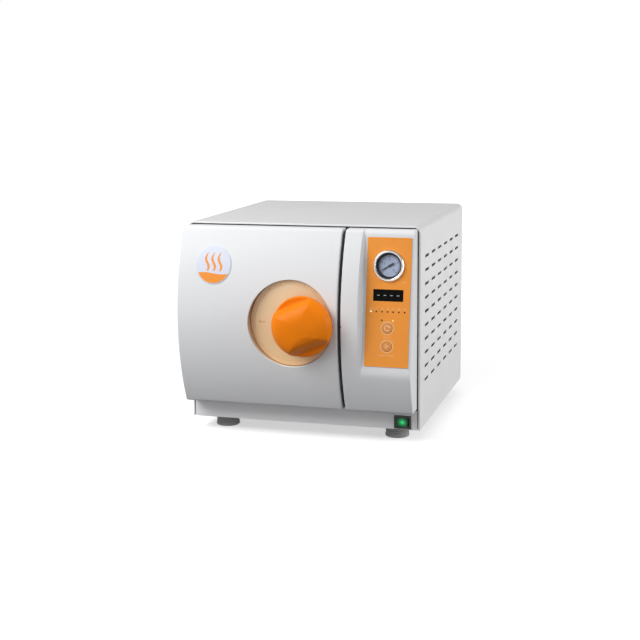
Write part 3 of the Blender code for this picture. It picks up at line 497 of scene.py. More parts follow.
class Finish:
    """A procedural material: a Principled shader and the nodes that vary it over the surface."""

    def __init__(self, name, colour, roughness, metallic=0.0, **sockets):
        self.material = bpy.data.materials.new(name)
        self.material.use_nodes = True
        self.tree = self.material.node_tree
        self.shader = self.tree.nodes["Principled BSDF"]
        self.colour = colour
        self.roughness = roughness
        self.put(self.shader, base_color=colour, roughness=roughness, metallic=metallic, **sockets)
        self.bump_end = None

    def put(self, node, **values):
        named = {}
        for socket in node.inputs:
            if socket.enabled:
                named.setdefault(socket.name.lower().replace(" ", "_"), socket)
        for name, value in values.items():
            socket = named[name]
            if isinstance(value, bpy.types.NodeSocket):
                self.tree.links.new(value, socket)
            else:
                socket.default_value = value

    def node(self, kind, settings=(), **values):
        made = self.tree.nodes.new("ShaderNode" + kind)
        for name, value in dict(settings).items():
            setattr(made, name, value)
        self.put(made, **values)
        return made

    def place(self, scale=(1, 1, 1), centre=(0, 0, 0), turn=(0, 0, 0)):
        """Points of the piece at rest, scaled about a centre."""
        coordinates = self.node("TexCoord").outputs["Object"]
        shift = self.node("VectorMath", {"operation": "SUBTRACT"})
        self.tree.links.new(coordinates, shift.inputs[0])
        shift.inputs[1].default_value = centre
        mapping = self.node("Mapping", vector=shift.outputs[0], scale=scale, rotation=turn)
        return mapping.outputs[0]

    def noise(self, scale, detail, vector=None):
        made = self.node("TexNoise", vector=vector or self.place(), scale=scale, detail=detail)
        return made.outputs["Fac"]

    def ranged(self, value, low, high, start=0.3, end=0.7):
        ends = {"from_min": start, "from_max": end, "to_min": low, "to_max": high}
        return self.node("MapRange", value=value, **ends).outputs["Result"]

    def mixed(self, factor, first, second, blend="MIX"):
        made = self.node("Mix", {"data_type": "RGBA", "blend_type": blend})
        self.link(factor, made.inputs[0])
        for socket, value in ((made.inputs[6], first), (made.inputs[7], second)):
            self.link(value, socket)
        return made.outputs[2]

    def link(self, value, socket):
        if isinstance(value, bpy.types.NodeSocket):
            self.tree.links.new(value, socket)
        else:
            socket.default_value = value

    def math(self, operation, first, second=0.0):
        made = self.node("Math", {"operation": operation})
        self.link(first, made.inputs[0])
        self.link(second, made.inputs[1])
        return made.outputs[0]

    def tint(self, factor, other):
        """Blends another colour over the base colour by a factor from 0 to 1."""
        self.colour = self.mixed(factor, self.colour, other)
        self.put(self.shader, base_color=self.colour)
        return self

    def patchy(self, scale, amount, vector=None):
        """Slow changes of colour and of roughness."""
        factor = self.ranged(self.noise(scale, 4.0, vector), 0.0, 1.0)
        darker = self.mixed(1.0, self.colour, (1 - amount, 1 - amount, 1 - amount, 1.0), "MULTIPLY")
        self.colour = self.mixed(factor, self.colour, darker)
        self.put(self.shader, base_color=self.colour)
        return self

    def uneven(self, scale, spread, vector=None):
        """Roughness that wanders about its middle value."""
        low, high = about(self.roughness, spread)
        self.put(self.shader, roughness=self.ranged(self.noise(scale, 5.0, vector), low, high))
        return self

    def bumpy(self, height, distance, strength=1.0):
        """Relief from a height between 0 and 1, added to any made before it."""
        made = self.node("Bump", strength=strength, distance=distance, height=height)
        if self.bump_end:
            self.tree.links.new(self.bump_end, made.inputs["Normal"])
        self.bump_end = made.outputs["Normal"]
        self.put(self.shader, normal=self.bump_end)
        return self

    def grain(self, scale, distance, strength=1.0, vector=None):
        return self.bumpy(self.noise(scale, 2.0, vector), distance, strength)

    def speckle(self, scale, other, share):
        """Small flecks of another colour."""
        fleck = self.ranged(self.noise(scale, 1.0), 0.0, 1.0, 1 - share, 1 - share + 0.06)
        return self.tint(fleck, other)

    def radius(self, centre, axis):
        """Distance from an axis line, for rings of turning marks."""
        keep = {"x": (0, 1, 1), "y": (1, 0, 1), "z": (1, 1, 0)}[axis]
        flat = self.place(scale=keep, centre=centre)
        return self.node("VectorMath", {"operation": "LENGTH"}, vector=flat).outputs["Value"]

    def rings(self, centre, axis, scale, distance, spread=0.08):
        """Fine rings about an axis, as a lathe or a polishing wheel leaves them."""
        line = self.radius(centre, axis)
        made = self.node("TexNoise", {"noise_dimensions": "1D"}, w=line, scale=scale, detail=4.0)
        height = made.outputs["Fac"]
        low, high = about(self.roughness, spread)
        self.put(self.shader, roughness=self.ranged(height, low, high))
        return self.bumpy(height, distance)


def powder_coat(name, colour):
    """Fine orange-peel powder coat on sheet steel."""
    made = Finish(name, colour, 0.42, specular_ior_level=0.35)
    made.patchy(7.0, 0.025).uneven(30.0, 0.05)
    made.grain(420.0, 0.00012, 0.35).grain(1500.0, 0.00003, 0.4)
    return made.material


def front_paint():
    """Smoother satin paint of the door and the fascia, with a trace of moulding flow."""
    made = Finish("front_paint", srgb(236, 237, 239), 0.46, specular_ior_level=0.08)
    flow = made.place(scale=(3.0, 1.0, 9.0))
    made.patchy(2.2, 0.018, flow).uneven(22.0, 0.04)
    made.grain(260.0, 0.00006, 0.3).grain(1900.0, 0.00002, 0.35)
    return made.material


def orange_plastic():
    """Moulded plastic of the knob, slightly translucent, with a fine spark-eroded texture."""
    made = Finish(
        "orange_plastic", srgb(255, 137, 14), 0.36, specular_ior_level=0.1, subsurface_weight=0.1,
        subsurface_radius=(0.006, 0.002, 0.0006), subsurface_scale=1.0,
    )
    made.patchy(25.0, 0.07, made.place(scale=(1, 1, 2.5), turn=(0, GRIP_TILT, 0)))
    made.uneven(60.0, 0.05).grain(900.0, 0.00008, 0.35).grain(2600.0, 0.00003, 0.3)
    return made.material


def cream_plastic():
    """Cream dial behind the window, with painted shade that makes it browner towards its lower edge."""
    made = Finish("cream_plastic", srgb(247, 219, 176), 0.4, coat_weight=0.3, coat_roughness=0.12)
    rise = made.node("SeparateXYZ", vector=made.place()).outputs["Z"]
    low = at(0, 0, WINDOW[1] - WINDOW_R).z
    # Painted shade: the colour browns towards the bottom of the window.
    made.tint(made.ranged(rise, 0.8, 0.0, low, low + 2 * WINDOW_R), srgb(236, 196, 140))
    made.patchy(18.0, 0.05).uneven(35.0, 0.06).grain(1400.0, 0.00004, 0.3)
    return made.material


def liner_plastic():
    """Cream collar inside the window, with painted shade that browns its top and left."""
    made = Finish("liner_plastic", srgb(238, 214, 190), 0.5, specular_ior_level=0.3)
    centre = at(WINDOW[0], 0, WINDOW[1])
    split = made.node("SeparateXYZ", vector=made.place((1, 1, 1), centre, (0, -0.6, 0)))
    # Painted shade: brown over the top and left of the collar, where its wall lies in shadow.
    made.tint(made.ranged(split.outputs["Z"], 0.0, 0.9, -0.055, -0.02), srgb(158, 126, 98))
    made.patchy(40.0, 0.08).uneven(90.0, 0.06).grain(1200.0, 0.00005, 0.3)
    return made.material


def grey_rubber():
    made = Finish("grey_rubber", srgb(164, 164, 164), 0.72)
    made.patchy(60.0, 0.12).speckle(1500.0, srgb(186, 186, 184), 0.36)
    made.uneven(140.0, 0.08).grain(1100.0, 0.0002, 0.5)
    return made.material


def stainless():
    """Stainless sheet with the rolling grain along the chamber."""
    made = Finish("stainless", srgb(222, 222, 223), 0.36, 1.0, anisotropic=0.3)
    along = made.place(scale=(1, 0.02, 1))
    made.patchy(40.0, 0.05, along).uneven(600.0, 0.05, along).grain(1800.0, 0.00001, 0.3, along)
    return made.material


def painted_steel(name, colour):
    """Painted steel of the frame and the brackets inside."""
    made = Finish(name, colour, 0.5, 0.35)
    made.patchy(14.0, 0.06).uneven(50.0, 0.06).grain(700.0, 0.00008, 0.4)
    return made.material


def label_film():
    """Printed polycarbonate film of the control plate, with a fine velvet texture."""
    made = Finish("label_film", srgb(254, 161, 64), 0.42, specular_ior_level=0.25)
    made.patchy(30.0, 0.03).uneven(80.0, 0.04).grain(2200.0, 0.00005, 0.45)
    return made.material


def ink(name, colour, roughness=0.5):
    """Screen-printed ink, a little uneven in density."""
    made = Finish(name, colour, roughness)
    made.patchy(400.0, 0.08).grain(3000.0, 0.00001, 0.4)
    return made.material


def glowing(name, colour, strength):
    """A lit lamp, its brightness a little uneven."""
    made = Finish(name, colour, 0.25, emission_color=colour)
    level = made.ranged(made.noise(900.0, 3.0), 0.8 * strength, 1.2 * strength)
    made.put(made.shader, emission_strength=level)
    return made.material


def gloss_plastic(name, colour, roughness, gloss=0.5):
    made = Finish(name, colour, roughness, specular_ior_level=gloss)
    made.patchy(50.0, 0.1).uneven(120.0, min(0.05, roughness * 0.6)).grain(1500.0, 0.00003, 0.3)
    return made.material


def polished_bezel():
    """Polished chrome of the gauge ring, with faint turning marks."""
    made = Finish("polished_bezel", srgb(222, 218, 212), 0.27, 1.0)
    centre = panel(GAUGE[0], 0, up_facet(GAUGE[1]))
    made.patchy(90.0, 0.04).rings(centre, "y", 1500.0, 0.00001, 0.05)
    return made.material


def gauge_paper():
    """Pale blue-white dial face."""
    made = Finish("gauge_paper", srgb(176, 188, 216), 0.5)
    made.patchy(60.0, 0.05).grain(2500.0, 0.00002, 0.3)
    return made.material


def lens_glass():
    made = Finish("lens_glass", (0.9, 0.95, 1.0, 1.0), 0.05, alpha=0.02, specular_ior_level=0.15)
    made.patchy(80.0, 0.05).grain(300.0, 0.00001, 0.2)
    return made.material


def green_rocker():
    """Lit green lens, brightest over the lamp at its middle."""
    made = Finish("green_rocker", srgb(8, 84, 44), 0.25, specular_ior_level=0.25)
    from_lamp = made.place((1, 0, 1.15), at(*SWITCH_MIDDLE))
    spot = made.node("VectorMath", {"operation": "LENGTH"}, vector=from_lamp)
    glow = made.math("POWER", made.ranged(spot.outputs["Value"], 1.0, 0.0, 0.0, 0.012), 2.2)
    made.tint(glow, srgb(40, 190, 110))
    strength = made.math("MULTIPLY", glow, 0.95)
    made.put(made.shader, emission_color=srgb(40, 215, 120), emission_strength=strength)
    made.uneven(200.0, 0.05).grain(700.0, 0.00006, 0.4)
    return made.material


def circuit_board():
    """Green solder mask over copper tracks."""
    made = Finish("circuit_board", srgb(14, 62, 36), 0.38, coat_weight=0.3)
    pattern = {"scale": 160.0, "mortar_size": 0.06, "brick_width": 0.9, "row_height": 0.35}
    tracks = made.node("TexBrick", vector=made.place(turn=(RIGHT_ANGLE, 0, 0)), **pattern).outputs["Fac"]
    made.tint(made.math("MULTIPLY", tracks, 0.55), srgb(46, 96, 58))
    made.patchy(60.0, 0.1).bumpy(tracks, 0.00004)
    return made.material


def screw_steel():
    made = Finish("screw_steel", srgb(190, 191, 194), 0.3, 1.0)
    made.patchy(500.0, 0.12).uneven(900.0, 0.08).grain(1800.0, 0.00003, 0.4)
    return made.material


def plain_metal(name, colour, roughness):
    """Drawn or turned metal with uneven tarnish."""
    made = Finish(name, colour, roughness, 1.0)
    made.patchy(35.0, 0.16).uneven(500.0, 0.08).grain(1600.0, 0.00003, 0.5)
    return made.material


def turned_steel():
    """Faced plate with fine rings about the chamber's axis."""
    made = Finish("turned_steel", srgb(208, 208, 210), 0.24, 1.0)
    made.patchy(20.0, 0.06).rings(at(CHAMBER[0], 0, CHAMBER[1]), "y", 900.0, 0.00004, 0.07)
    return made.material


def cast_alloy():
    """Sand-cast alloy, dull and pitted."""
    made = Finish("cast_alloy", srgb(176, 177, 179), 0.55, 0.85)
    made.patchy(60.0, 0.14).uneven(220.0, 0.08).grain(420.0, 0.0003, 0.5).grain(1400.0, 0.0001, 0.5)
    return made.material


def silicone_rubber():
    made = Finish("silicone_rubber", srgb(222, 220, 212), 0.5, subsurface_weight=0.1, subsurface_scale=0.002)
    made.patchy(70.0, 0.06).uneven(150.0, 0.06).grain(800.0, 0.00006, 0.4)
    return made.material


def mineral_wool():
    made = Finish("mineral_wool", srgb(208, 202, 178), 0.95)
    made.patchy(30.0, 0.2).speckle(700.0, srgb(168, 160, 132), 0.4)
    made.grain(120.0, 0.003, 0.8).grain(900.0, 0.0006, 0.7)
    return made.material


def milky_plastic():
    """Milky blow-moulded plastic of the water tank."""
    made = Finish("milky_plastic", srgb(220, 226, 230), 0.38, subsurface_weight=0.25, subsurface_scale=0.004)
    made.patchy(16.0, 0.06).uneven(60.0, 0.06).grain(500.0, 0.0001, 0.4)
    return made.material


# ---------------------------------------------------------------- cabinet


def arch(inset, bottom):
    """Front view of the cover as an open line from foot to foot."""
    radius, steps = BEND_R - inset, 12
    low, high, top = inset + radius, CABINET_W - inset - radius, CABINET_H - inset - radius
    line = [Vector((inset, bottom))] + arc(low, top, radius, 2 * RIGHT_ANGLE, RIGHT_ANGLE, steps)
    line += arc(high, top, radius, RIGHT_ANGLE, 0, steps)
    return line + [Vector((CABINET_W - inset, bottom))]


def make_cover():
    """Folded cover with a turned-in front edge and ten rows of slots in its right side."""
    path = [(0.0, CABINET_D), (0.0, FRONT_EDGE_R)]
    turn = arc(FRONT_EDGE_R, FRONT_EDGE_R, FRONT_EDGE_R, 2 * RIGHT_ANGLE, 3 * RIGHT_ANGLE, 4)
    path += [tuple(point) for point in turn[1:]]
    path += [(LIP - HAIR, 0.0), (LIP, HAIR), (LIP, SHEET), (SHEET, SHEET + HAIR)]
    path += [(SHEET, CABINET_D - EASED), (EASED, CABINET_D)]
    sections = [[at(x, y, z) for x, z in arch(inset, 0.0)] for inset, y in path]
    bm = bmesh.new()
    rings = [[bm.verts.new(point) for point in section] for section in sections]
    for first, second in neighbours(rings, closed=True):
        for i in range(len(first) - 1):
            bm.faces.new((first[i], first[i + 1], second[i + 1], second[i]))
    bm.faces.new([ring[0] for ring in rings])
    bm.faces.new([ring[-1] for ring in rings][::-1])
    slots = []
    for z in series(VENT_FIRST[1], VENT_PITCH[1], VENT_ROWS):
        for y in series(VENT_FIRST[0], VENT_PITCH[0], VENT_COLUMNS):
            outline = centred(*VENT_SIZE, VENT_SIZE[1] * 0.49)
            slots.append(plate([outline], 0.008, facing((CABINET_W, y, z), "sideways")))
    bm = softened(carve(bm, [joined(*slots)]), 0.0003, 2, 60)
    piece("cover", bm, WHITE_COAT, stands_for="cabinet_cover")


def front_line(inset, flat):
    """Front edge of the side view, as (y, z) points from the bottom up, inset from the skin."""
    radius = BULGE_R - inset
    centre_y = BULGE_R - BULGE_DEPTH
    low_r, top_r = max(FRONT_BOTTOM_R - inset, 0.0004), FRONT_TOP_R - inset
    low_z, top_z = FRONT_Z[0] + inset + low_r, FRONT_Z[1] - inset - top_r
    low_y = centre_y - math.sqrt((radius - low_r) ** 2 - (low_z - BULGE_Z) ** 2)
    low_angle = math.atan2(low_z - BULGE_Z, low_y - centre_y) + 2 * math.pi
    line = arc(low_y, low_z, low_r, 3 * RIGHT_ANGLE, low_angle, 5)
    out = Vector((-math.cos(FACET_TILT), math.sin(FACET_TILT)))
    base = Vector((-FACET_LOW[0], FACET_LOW[1])) - inset * out
    if flat:
        rise = (top_z + top_r * out.y - base.y) / math.cos(FACET_TILT)
        top_y = base.x + rise * math.sin(FACET_TILT) - top_r * out.x
        top_angle = math.pi - FACET_TILT
    else:
        top_y = centre_y - math.sqrt((radius - top_r) ** 2 - (top_z - BULGE_Z) ** 2)
        top_angle = math.atan2(top_z - BULGE_Z, top_y - centre_y)
    corner = arc(top_y, top_z, top_r, top_angle, RIGHT_ANGLE, 10)
    first_z, last_z = line[-1].y, corner[0].y
    soft, far, main = 0.0006, 20, 60  # softness of the facet's edge, where it ends, and points
    for i in range(1, main):
        z = first_z + (last_z - first_z) * i / main
        y = centre_y - math.sqrt(radius**2 - (z - BULGE_Z) ** 2)
        if flat:
            on_facet = base.x + (z - base.y) * math.tan(FACET_TILT)
            apart = (on_facet - y) / soft
            y = on_facet if apart > far else y + soft * math.log1p(math.exp(apart))
        line.append(Vector((y, z)))
    return line + corner


def front_section(x, inset, flat, back):
    """Closed ring of the moulded front at x. flat runs from 0, the bulge, to 1, the facet."""
    plain, faceted = front_line(inset, False), front_line(inset, True)
    line = [a.lerp(b, flat) for a, b in zip(plain, faceted)]
    ring = [Vector((back, line[0].y))] + line + [Vector((back, line[-1].y))]
    return [at(x, y, z) for y, z in ring]


def edge_sections(low, high, radius):
    """(x, inset) pairs across a moulding with rounded side edges."""
    angles = [RIGHT_ANGLE * i / 5 for i in range(6)]
    side = [(radius * (1 - math.cos(a)), radius * (1 - math.sin(a))) for a in angles]
    return [(low + x, inset) for x, inset in side] + [(high - x, inset) for x, inset in side[::-1]]


def seam_slot(side, reach):
    """Cutter for the slot that lets the lock bolt through a side wall at x."""
    return box((side - reach[0], side + reach[1]), LOCK_Y, LOCK_Z, 0.0015)


def skin_y(z, proud=0.0):
    """Depth of the bulged skin at a height, or of a surface that stands proud of it."""
    return BULGE_R - BULGE_DEPTH - math.sqrt((BULGE_R + proud) ** 2 - (z - BULGE_Z) ** 2)


def make_door_cover():
    """Bulged shell of the door, with its round window and the slot of the lock bolt."""
    left, right = DOOR_X
    edges = edge_sections(left, right, FRONT_SIDE_R)
    outer = [front_section(x, inset, 0, FRONT_BACK_Y) for x, inset in edges]
    inner = [front_section(x, WALL, 0, 0.01) for x in grown(DOOR_X, -WALL)]
    window = rod(WINDOW_R + RIM_R, 0.1, (WINDOW[0], 0, WINDOW[1]), "front", ROUND)
    relief = box((-0.01, 0.0145), (-0.0062, 0.02), (0.0, 0.4))
    bm = carve(loft(outer), [loft(inner), window, seam_slot(right, (0.006, 0.003)), relief])
    piece("door_shell", bm, FRONT_PAINT, "door", "door_cover")
    make_window_rim()


def make_window_rim():
    """Ring that lines the window, its front edge rolled over on to the skin, and its cream liner."""

    def ring(radius, drop):
        return [at(x, skin_y(z) + drop, z) for x, z in circle(*WINDOW, radius, ROUND)]

    roll = [RIGHT_ANGLE * i / 6 for i in range(7)]
    path = [(WINDOW_R + RIM_R * (1 - math.sin(a)), RIM_R * (1 - math.cos(a)) - 0.00005) for a in roll]
    outer_r, rim_back, liner_front, liner_y = WINDOW_R + RIM_R, RIM_R + 0.0008, RIM_R + 0.001, -0.0505
    rings = [ring(radius, drop) for radius, drop in path]
    rings += [ring(WINDOW_R, rim_back), ring(outer_r, rim_back)]
    piece("window_rim", loft(rings, closed=True), FRONT_PAINT, "door")
    front = [ring(outer_r, liner_front), ring(WINDOW_R, liner_front)]
    radii = (WINDOW_R + 0.0006, outer_r)
    back = [[at(x, liner_y, z) for x, z in circle(*WINDOW, radius, ROUND)] for radius in radii]
    piece("window_liner", loft(front + back, closed=True), LINER, "door")


def make_dial():
    """Cream disc behind the window, with the knob's off-centre hole and a printed scale."""
    hole = circle(KNOB[0] - WINDOW[0], KNOB[1] - WINDOW[1], 0.0225, 64)
    place = facing((WINDOW[0], middle(DIAL_Y), WINDOW[1]), "front")
    bm = plate([circle(0, 0, 0.08, 128), hole], length(DIAL_Y), place, 0.0003)
    piece("dial_disc", bm, CREAM, "door", "door_dial")


def make_knob():
    """Disc with a broad bulging grip across it, on its hub."""
    place = facing((KNOB[0], span("knob", "y")[1], KNOB[1]), "front")
    brim, bar_foot, disc_y = 0.029, 0.02, 0.033
    turns = [RIGHT_ANGLE * k / 28 for k in range(28)]
    dome = [(KNOB_R * math.sin(a), brim + 0.031 * math.cos(a) ** 0.55) for a in turns]
    dome = lathe([*dome, (KNOB_R, brim), (0, brim)], place, 192)
    turns = [RIGHT_ANGLE * k / 24 for k in range(25)]
    bar = [Vector((GRIP_HALF * math.cos(a), 0.027 + 0.0335 * math.sin(a) ** 0.62)) for a in turns]
    lower_flank = [
        (-0.01, 0.0603), (-0.019, 0.0588), (-0.027, 0.056), (-0.0335, 0.0515), (-0.0465, 0.0325),
        (-0.0465, bar_foot),
    ]
    bar += rounded(lower_flank, [0.01, 0.01, 0.01, 0.002, 0, 0], 4, closed=False)
    bar.append(Vector((GRIP_HALF, bar_foot)))
    upright = Matrix(((0, 0, 1, 0), (1, 0, 0, 0), (0, 1, 0, 0), (0, 0, 0, 1)))
    along = place @ Matrix.Rotation(GRIP_TILT, 4, "Z") @ upright
    grip = carve(dome, [plate([bar], 0.13, along)], "INTERSECT")
    base = [
        (0, disc_y), (0.05, disc_y), (0.0535, 0.0338), (0.0556, disc_y), (KNOB_R, 0.03),
        (0.055, 0.0262), (0.02, 0.0262), (0.02, 0), (0, 0),
    ]
    radii = [0, 0.004, 0.002, 0.001, 0.002, 0.001, 0.001, 0.001, 0]
    bm = melted(carve(grip, [turned(base, radii, place, 192, 4)], "UNION"), 0.0008, 12)
    piece("knob_grip", bm, ORANGE, "knob", "knob", crease=60)


def make_base():
    """Shallow pan with vent slots and a tall front apron with the opening of the power switch."""
    x, y = span("base_pan", "x"), span("base_pan", "y")
    pan = box(x, y, (0.0, 0.012), 0.0008, 2)
    hollow = box(grown(x, -SHEET), grown(y, -SHEET), (SHEET, 0.02))
    apron = box(x, (y[0], y[0] + SHEET), (0.0005, APRON_H), 0.0004, 2)
    bm = carve(carve(pan, [hollow]), [apron], "UNION")
    hole = box(about(SWITCH[0], 0.0148), (-0.01, 0.01), about(SWITCH[1], 0.0111))
    slot = centred(0.015, 0.13, 0.0074)
    slots = [plate([slot], 0.02, facing((x, 0.215, 0), "up")) for x in series(0.0675, 0.06, 6)]
    bm = carve(bm, [hole, joined(*slots)])
    # Painted light: the tray takes a lighter copy of the white coat.
    piece("base_tray", bm, LIGHTENED_APRON_COAT, stands_for="base_pan")


def make_feet():
    """Ribbed rubber feet, each held by a screw sunk in its underside."""
    height = ORIGIN.z - CAD_BOX[0].z
    foot_r, groove_r, sunk = 0.0222, 0.0212, 0.004
    profile = [(0, height - HAIR), (foot_r, height - HAIR)]
    for top in series(height - 0.0025, -0.0045, 4):
        profile += [(foot_r, top), (groove_r, top - 0.0009), (groove_r, top - 0.0016), (foot_r, top - 0.0025)]
    profile += [(0.0228, 0.005), (0.0228, 0.0012), (0.0215, 0), (0.0075, 0), (0.007, sunk), (0, sunk)]
    for node in [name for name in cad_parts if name.startswith("foot_")]:
        place = facing((*centre_of(node, "xy"), -height), "up")
        foot = turned(profile, 0.0006, place)
        piece(node.replace("foot", "rubber_foot"), foot, RUBBER, stands_for=node)
        screw(f"{node}_screw", shifted(place, out=sunk) @ FLIPPED, 0.0035)


def screw(name, place, radius=SCREW_R):
    """Pan-head screw with a cross recess, standing on the plane of a frame."""
    head = [(0, 0.6), (0.45, 0.56), (0.8, 0.4), (1, 0.12), (1, 0.02), (0, 0.02)]
    bm = turned([(r * radius, h * radius) for r, h in head], 0.0003, place, 32, 2)
    long, thin = 1.1 * radius, 0.22 * radius
    recess = shifted(place, out=0.55 * radius)
    cross = [plate([centred(*arm)], 0.5 * radius, recess) for arm in ((long, thin), (thin, long))]
    piece(name, carve(bm, cross), SCREW_STEEL)


def screws(name, places, y, direction, radius=SCREW_R):
    """Numbered screws at (x, z) places on an upright face."""
    for i, (x, z) in enumerate(places):
        screw(f"{name}_{i}", facing((x, y, z), direction), radius)


def upright_sheet(name, node, bottom, holes, material):
    """Flat sheet within the cover's outline, as thick as a CAD node and with its holes."""
    y = span(node, "y")
    place = facing((0, middle(y), 0), "front")
    bm = plate([arch(SHEET + HAIR, bottom), *holes], length(y), place, EASED)
    piece(name, bm, material, stands_for=node)


def make_front_frame():
    """Plate behind the door and the fascia, with the chamber's opening."""
    opening = rectangle((0.335, 0.437), (0.055, 0.355), 0.003)
    holes = [circle(*CHAMBER, FLANGE_R + 0.0015, 128), opening]
    # The dark grey of the frame is painted shade for the seams in front of it.
    upright_sheet("front_plate", "front_frame", APRON_H + HAIR, holes, FRAME_SHADE_GREY)
    places = [(x, 0.362) for x in (0.325, 0.43)]
    places = [(0.02, 0.35), *places, (0.02, 0.055), (0.325, 0.048)]
    screws("frame_screw", places, span("front_frame", "y")[0], "front", SMALL_SCREW_R)


def make_rear_panel():
    """Back of the cabinet, with the holes of its fittings and a row of upright vents."""
    holes = [circle(*FAN, FAN_R), circle(CHAMBER[0], VALVE_Z, 0.0135, 48)]
    holes += [circle(centre_of(node)[0], HOSE_Z, 0.0072, 32) for node in HOSES]
    holes += [circle(*FILTER, 0.0085, 32), centred(0.029, 0.022, 0.002, *INLET)]
    holes += [centred(0.006, 0.08, 0.0029, x, 0.26) for x in series(0.328, 0.018, 6)]
    upright_sheet("back_panel", "rear_panel", 0.0005, holes, WHITE_COAT)
    places = [(x, z) for x in (0.02, 0.158, 0.292, 0.43) for z in (0.018, 0.364)]
    places += [(x, 0.19) for x in (0.02, 0.43)]
    screws("rear_screw", places, span("rear_panel", "y")[1], "back")


def make_fascia():
    """Moulding beside the door, with the flat that carries the control plate."""
    left, right = FASCIA_X
    edges = edge_sections(left, right, FRONT_SIDE_R)
    half = len(edges) // 2
    steps, blend_w = 10, 0.0056
    sections = [front_section(x, inset, 0, FRONT_BACK_Y) for x, inset in edges[:half]]
    for i in range(steps + 1):
        t = i / steps
        x = FACET_X - blend_w / 2 + blend_w * t
        sections.append(front_section(x, 0, t * t * (3 - 2 * t), FRONT_BACK_Y))
    sections += [front_section(x, inset, 1, FRONT_BACK_Y) for x, inset in edges[half:]]
    step = FACET_X - WALL
    hollows = [
        loft([front_section(x, WALL, flat, 0.01) for x in pair])
        for pair, flat in (((left + 0.0015, step), 0), ((step - 0.001, right - WALL), 1))
    ]
    window = box((0.366, 0.433), (0.008, 0.224), (-0.008, 0.002), place=on_panel(0, 0, 0))
    notch = box((left - 0.003, left + 0.0014), (-0.08, -0.05), (0.201, 0.205))
    bm = carve(loft(sections), [*hollows, window, seam_slot(left, (0.003, 0.006)), notch])
    piece("fascia_moulding", bm, FRONT_PAINT, stands_for="control_fascia")


def make_seam_seal():
    """Dark strip on the side of the fascia, painted shade that darkens the seam beside the door."""
    x = FASCIA_X[0] - 0.003, FASCIA_X[0] + 0.0002
    # The strip stands in the seam as painted shade.
    strip = loft([front_section(side, 0.0045, 0, FRONT_BACK_Y) for side in x])
    core = loft([front_section(side, 0.01, 0, 0.02) for side in grown(x, 0.01)])
    slot = box(grown(x, 0.01), grown(LOCK_Y, 0.002), grown(LOCK_Z, 0.002))
    piece("seam_seal", carve(strip, [core, slot]), SEAM_SHADE_DARK)


def marks(name, outlines, out, material, body="cabinet", thick=0.00006):
    """Flat printed marks on the facet, each given by its own outlines in (x, up)."""
    place = on_panel(0, out + thick / 2, 0)
    piece(name, joined(*[plate(outline, thick, place) for outline in outlines]), material, body)


def band(points, width):
    """Outline of a stroke of even width along a line of points."""
    left, right = [], []
    for i, here in enumerate(points):
        before, after = points[max(i - 1, 0)], points[min(i + 1, len(points) - 1)]
        along = (after - before).normalized()
        side = Vector((-along.y, along.x)) * width / 2
        left.append(here + side)
        right.append(here - side)
    return left + right[::-1]


def make_control_plate():
    """Printed orange plate with openings for the gauge, display, lamps and keys."""
    top = up_facet(span("control_plate", "z")[1]) - 0.0002
    display = DISPLAY_X, tuple(map(up_facet, DISPLAY_Z))
    holes = [circle(GAUGE[0], up_facet(GAUGE[1]), 0.0245)]
    holes += [rectangle(*[grown(pair, HAIR) for pair in display], 0.0006)]
    holes += [circle(*lamp, 0.0017, 24) for lamp in lamp_places()]
    holes += [circle(KEY_X, up_facet(z), KEY_R + HAIR, 64) for z in KEY_Z.values()]
    outline = rectangle(PLATE_X, (0, top), 0.0012)
    bm = plate([outline, *holes], PLATE_T, on_panel(0, HAIR + PLATE_T / 2, 0), EASED)
    label = piece("label_plate", bm, LABEL, stands_for="control_plate")
    label.visible_diffuse = False
    make_prints()
    make_display(display)
    make_lamps()
    make_keys()


def make_prints():
    """Plain marks in place of the printed words: rings round the keys, ticks and dashes."""
    rings = [[circle(KEY_X, up_facet(z), r, 64) for r in (0.0118, 0.0104)] for z in KEY_Z.values()]
    marks("key_rings", rings, PLATE_OUT, INK)
    dashes = [(GAUGE[0] + 0.029, 0.2832, 0.007)]
    for apart, z, wide in ((0.0075, 0.1518, 0.013), (0.0036, 0.1846, 0.0052)):
        dashes = [(KEY_X - apart, z, wide), (KEY_X + apart, z, wide)] + dashes
    outlines = [[centred(wide, 0.0013, 0.0005, x, up_facet(z))] for x, z, wide in dashes]
    marks("plate_dashes", outlines, PLATE_OUT, INK_FAINT)
    row, z = LAMP_ROW
    symbols = []
    for x, sides in zip(series(*row), (24, 3, 4, 6, 3, 24, 4)):
        centre = Vector((x, up_facet(z) + 0.0052))
        turn = RIGHT_ANGLE if sides == 3 else math.pi / 4
        angles = [turn + 2 * math.pi * k / sides for k in range(sides)]
        symbols.append([[centre + polar(r, angle) for angle in angles] for r in (0.0023, 0.0012)])
    marks("lamp_symbols", symbols, PLATE_OUT, INK_FAINT)


def make_display(display):
    """Black window with four seven-segment digits that show only their middle bars."""
    (left, right), up = display
    front = 0.0017
    bm = box((left, right), up, (-0.001, front), 0.0004, 2, on_panel(0, 0, 0))
    piece("display_lens", bm, BLACK_WINDOW, stands_for="display_window")
    lit, unlit = [], []
    digit_w, digit_h, bar, end = 0.0048, 0.0096, 0.0011, 0.0005
    cy = middle(up)
    for i in range(4):
        cx = left + (right - left) * (i + 0.5) / 4 * 0.88 + (right - left) * 0.06
        lit.append([centred(digit_w, bar, end, cx, cy)])
        unlit += [[centred(digit_w, bar, end, cx, y)] for y in about(cy, digit_h / 2)]
        unlit += [
            [centred(bar, digit_h / 2 - bar, end, x, y)]
            for x in about(cx, digit_w / 2 + bar / 2) for y in about(cy, digit_h / 4)
        ]
    marks("display_dashes", lit, front, SEGMENT_LIT)
    marks("display_segments", unlit, front, SEGMENT_DARK, thick=0.00003)


def lamp_places():
    return [(x, up_facet(z)) for row, z in (LAMP_ROW, LAMP_PAIR) for x in series(*row)]


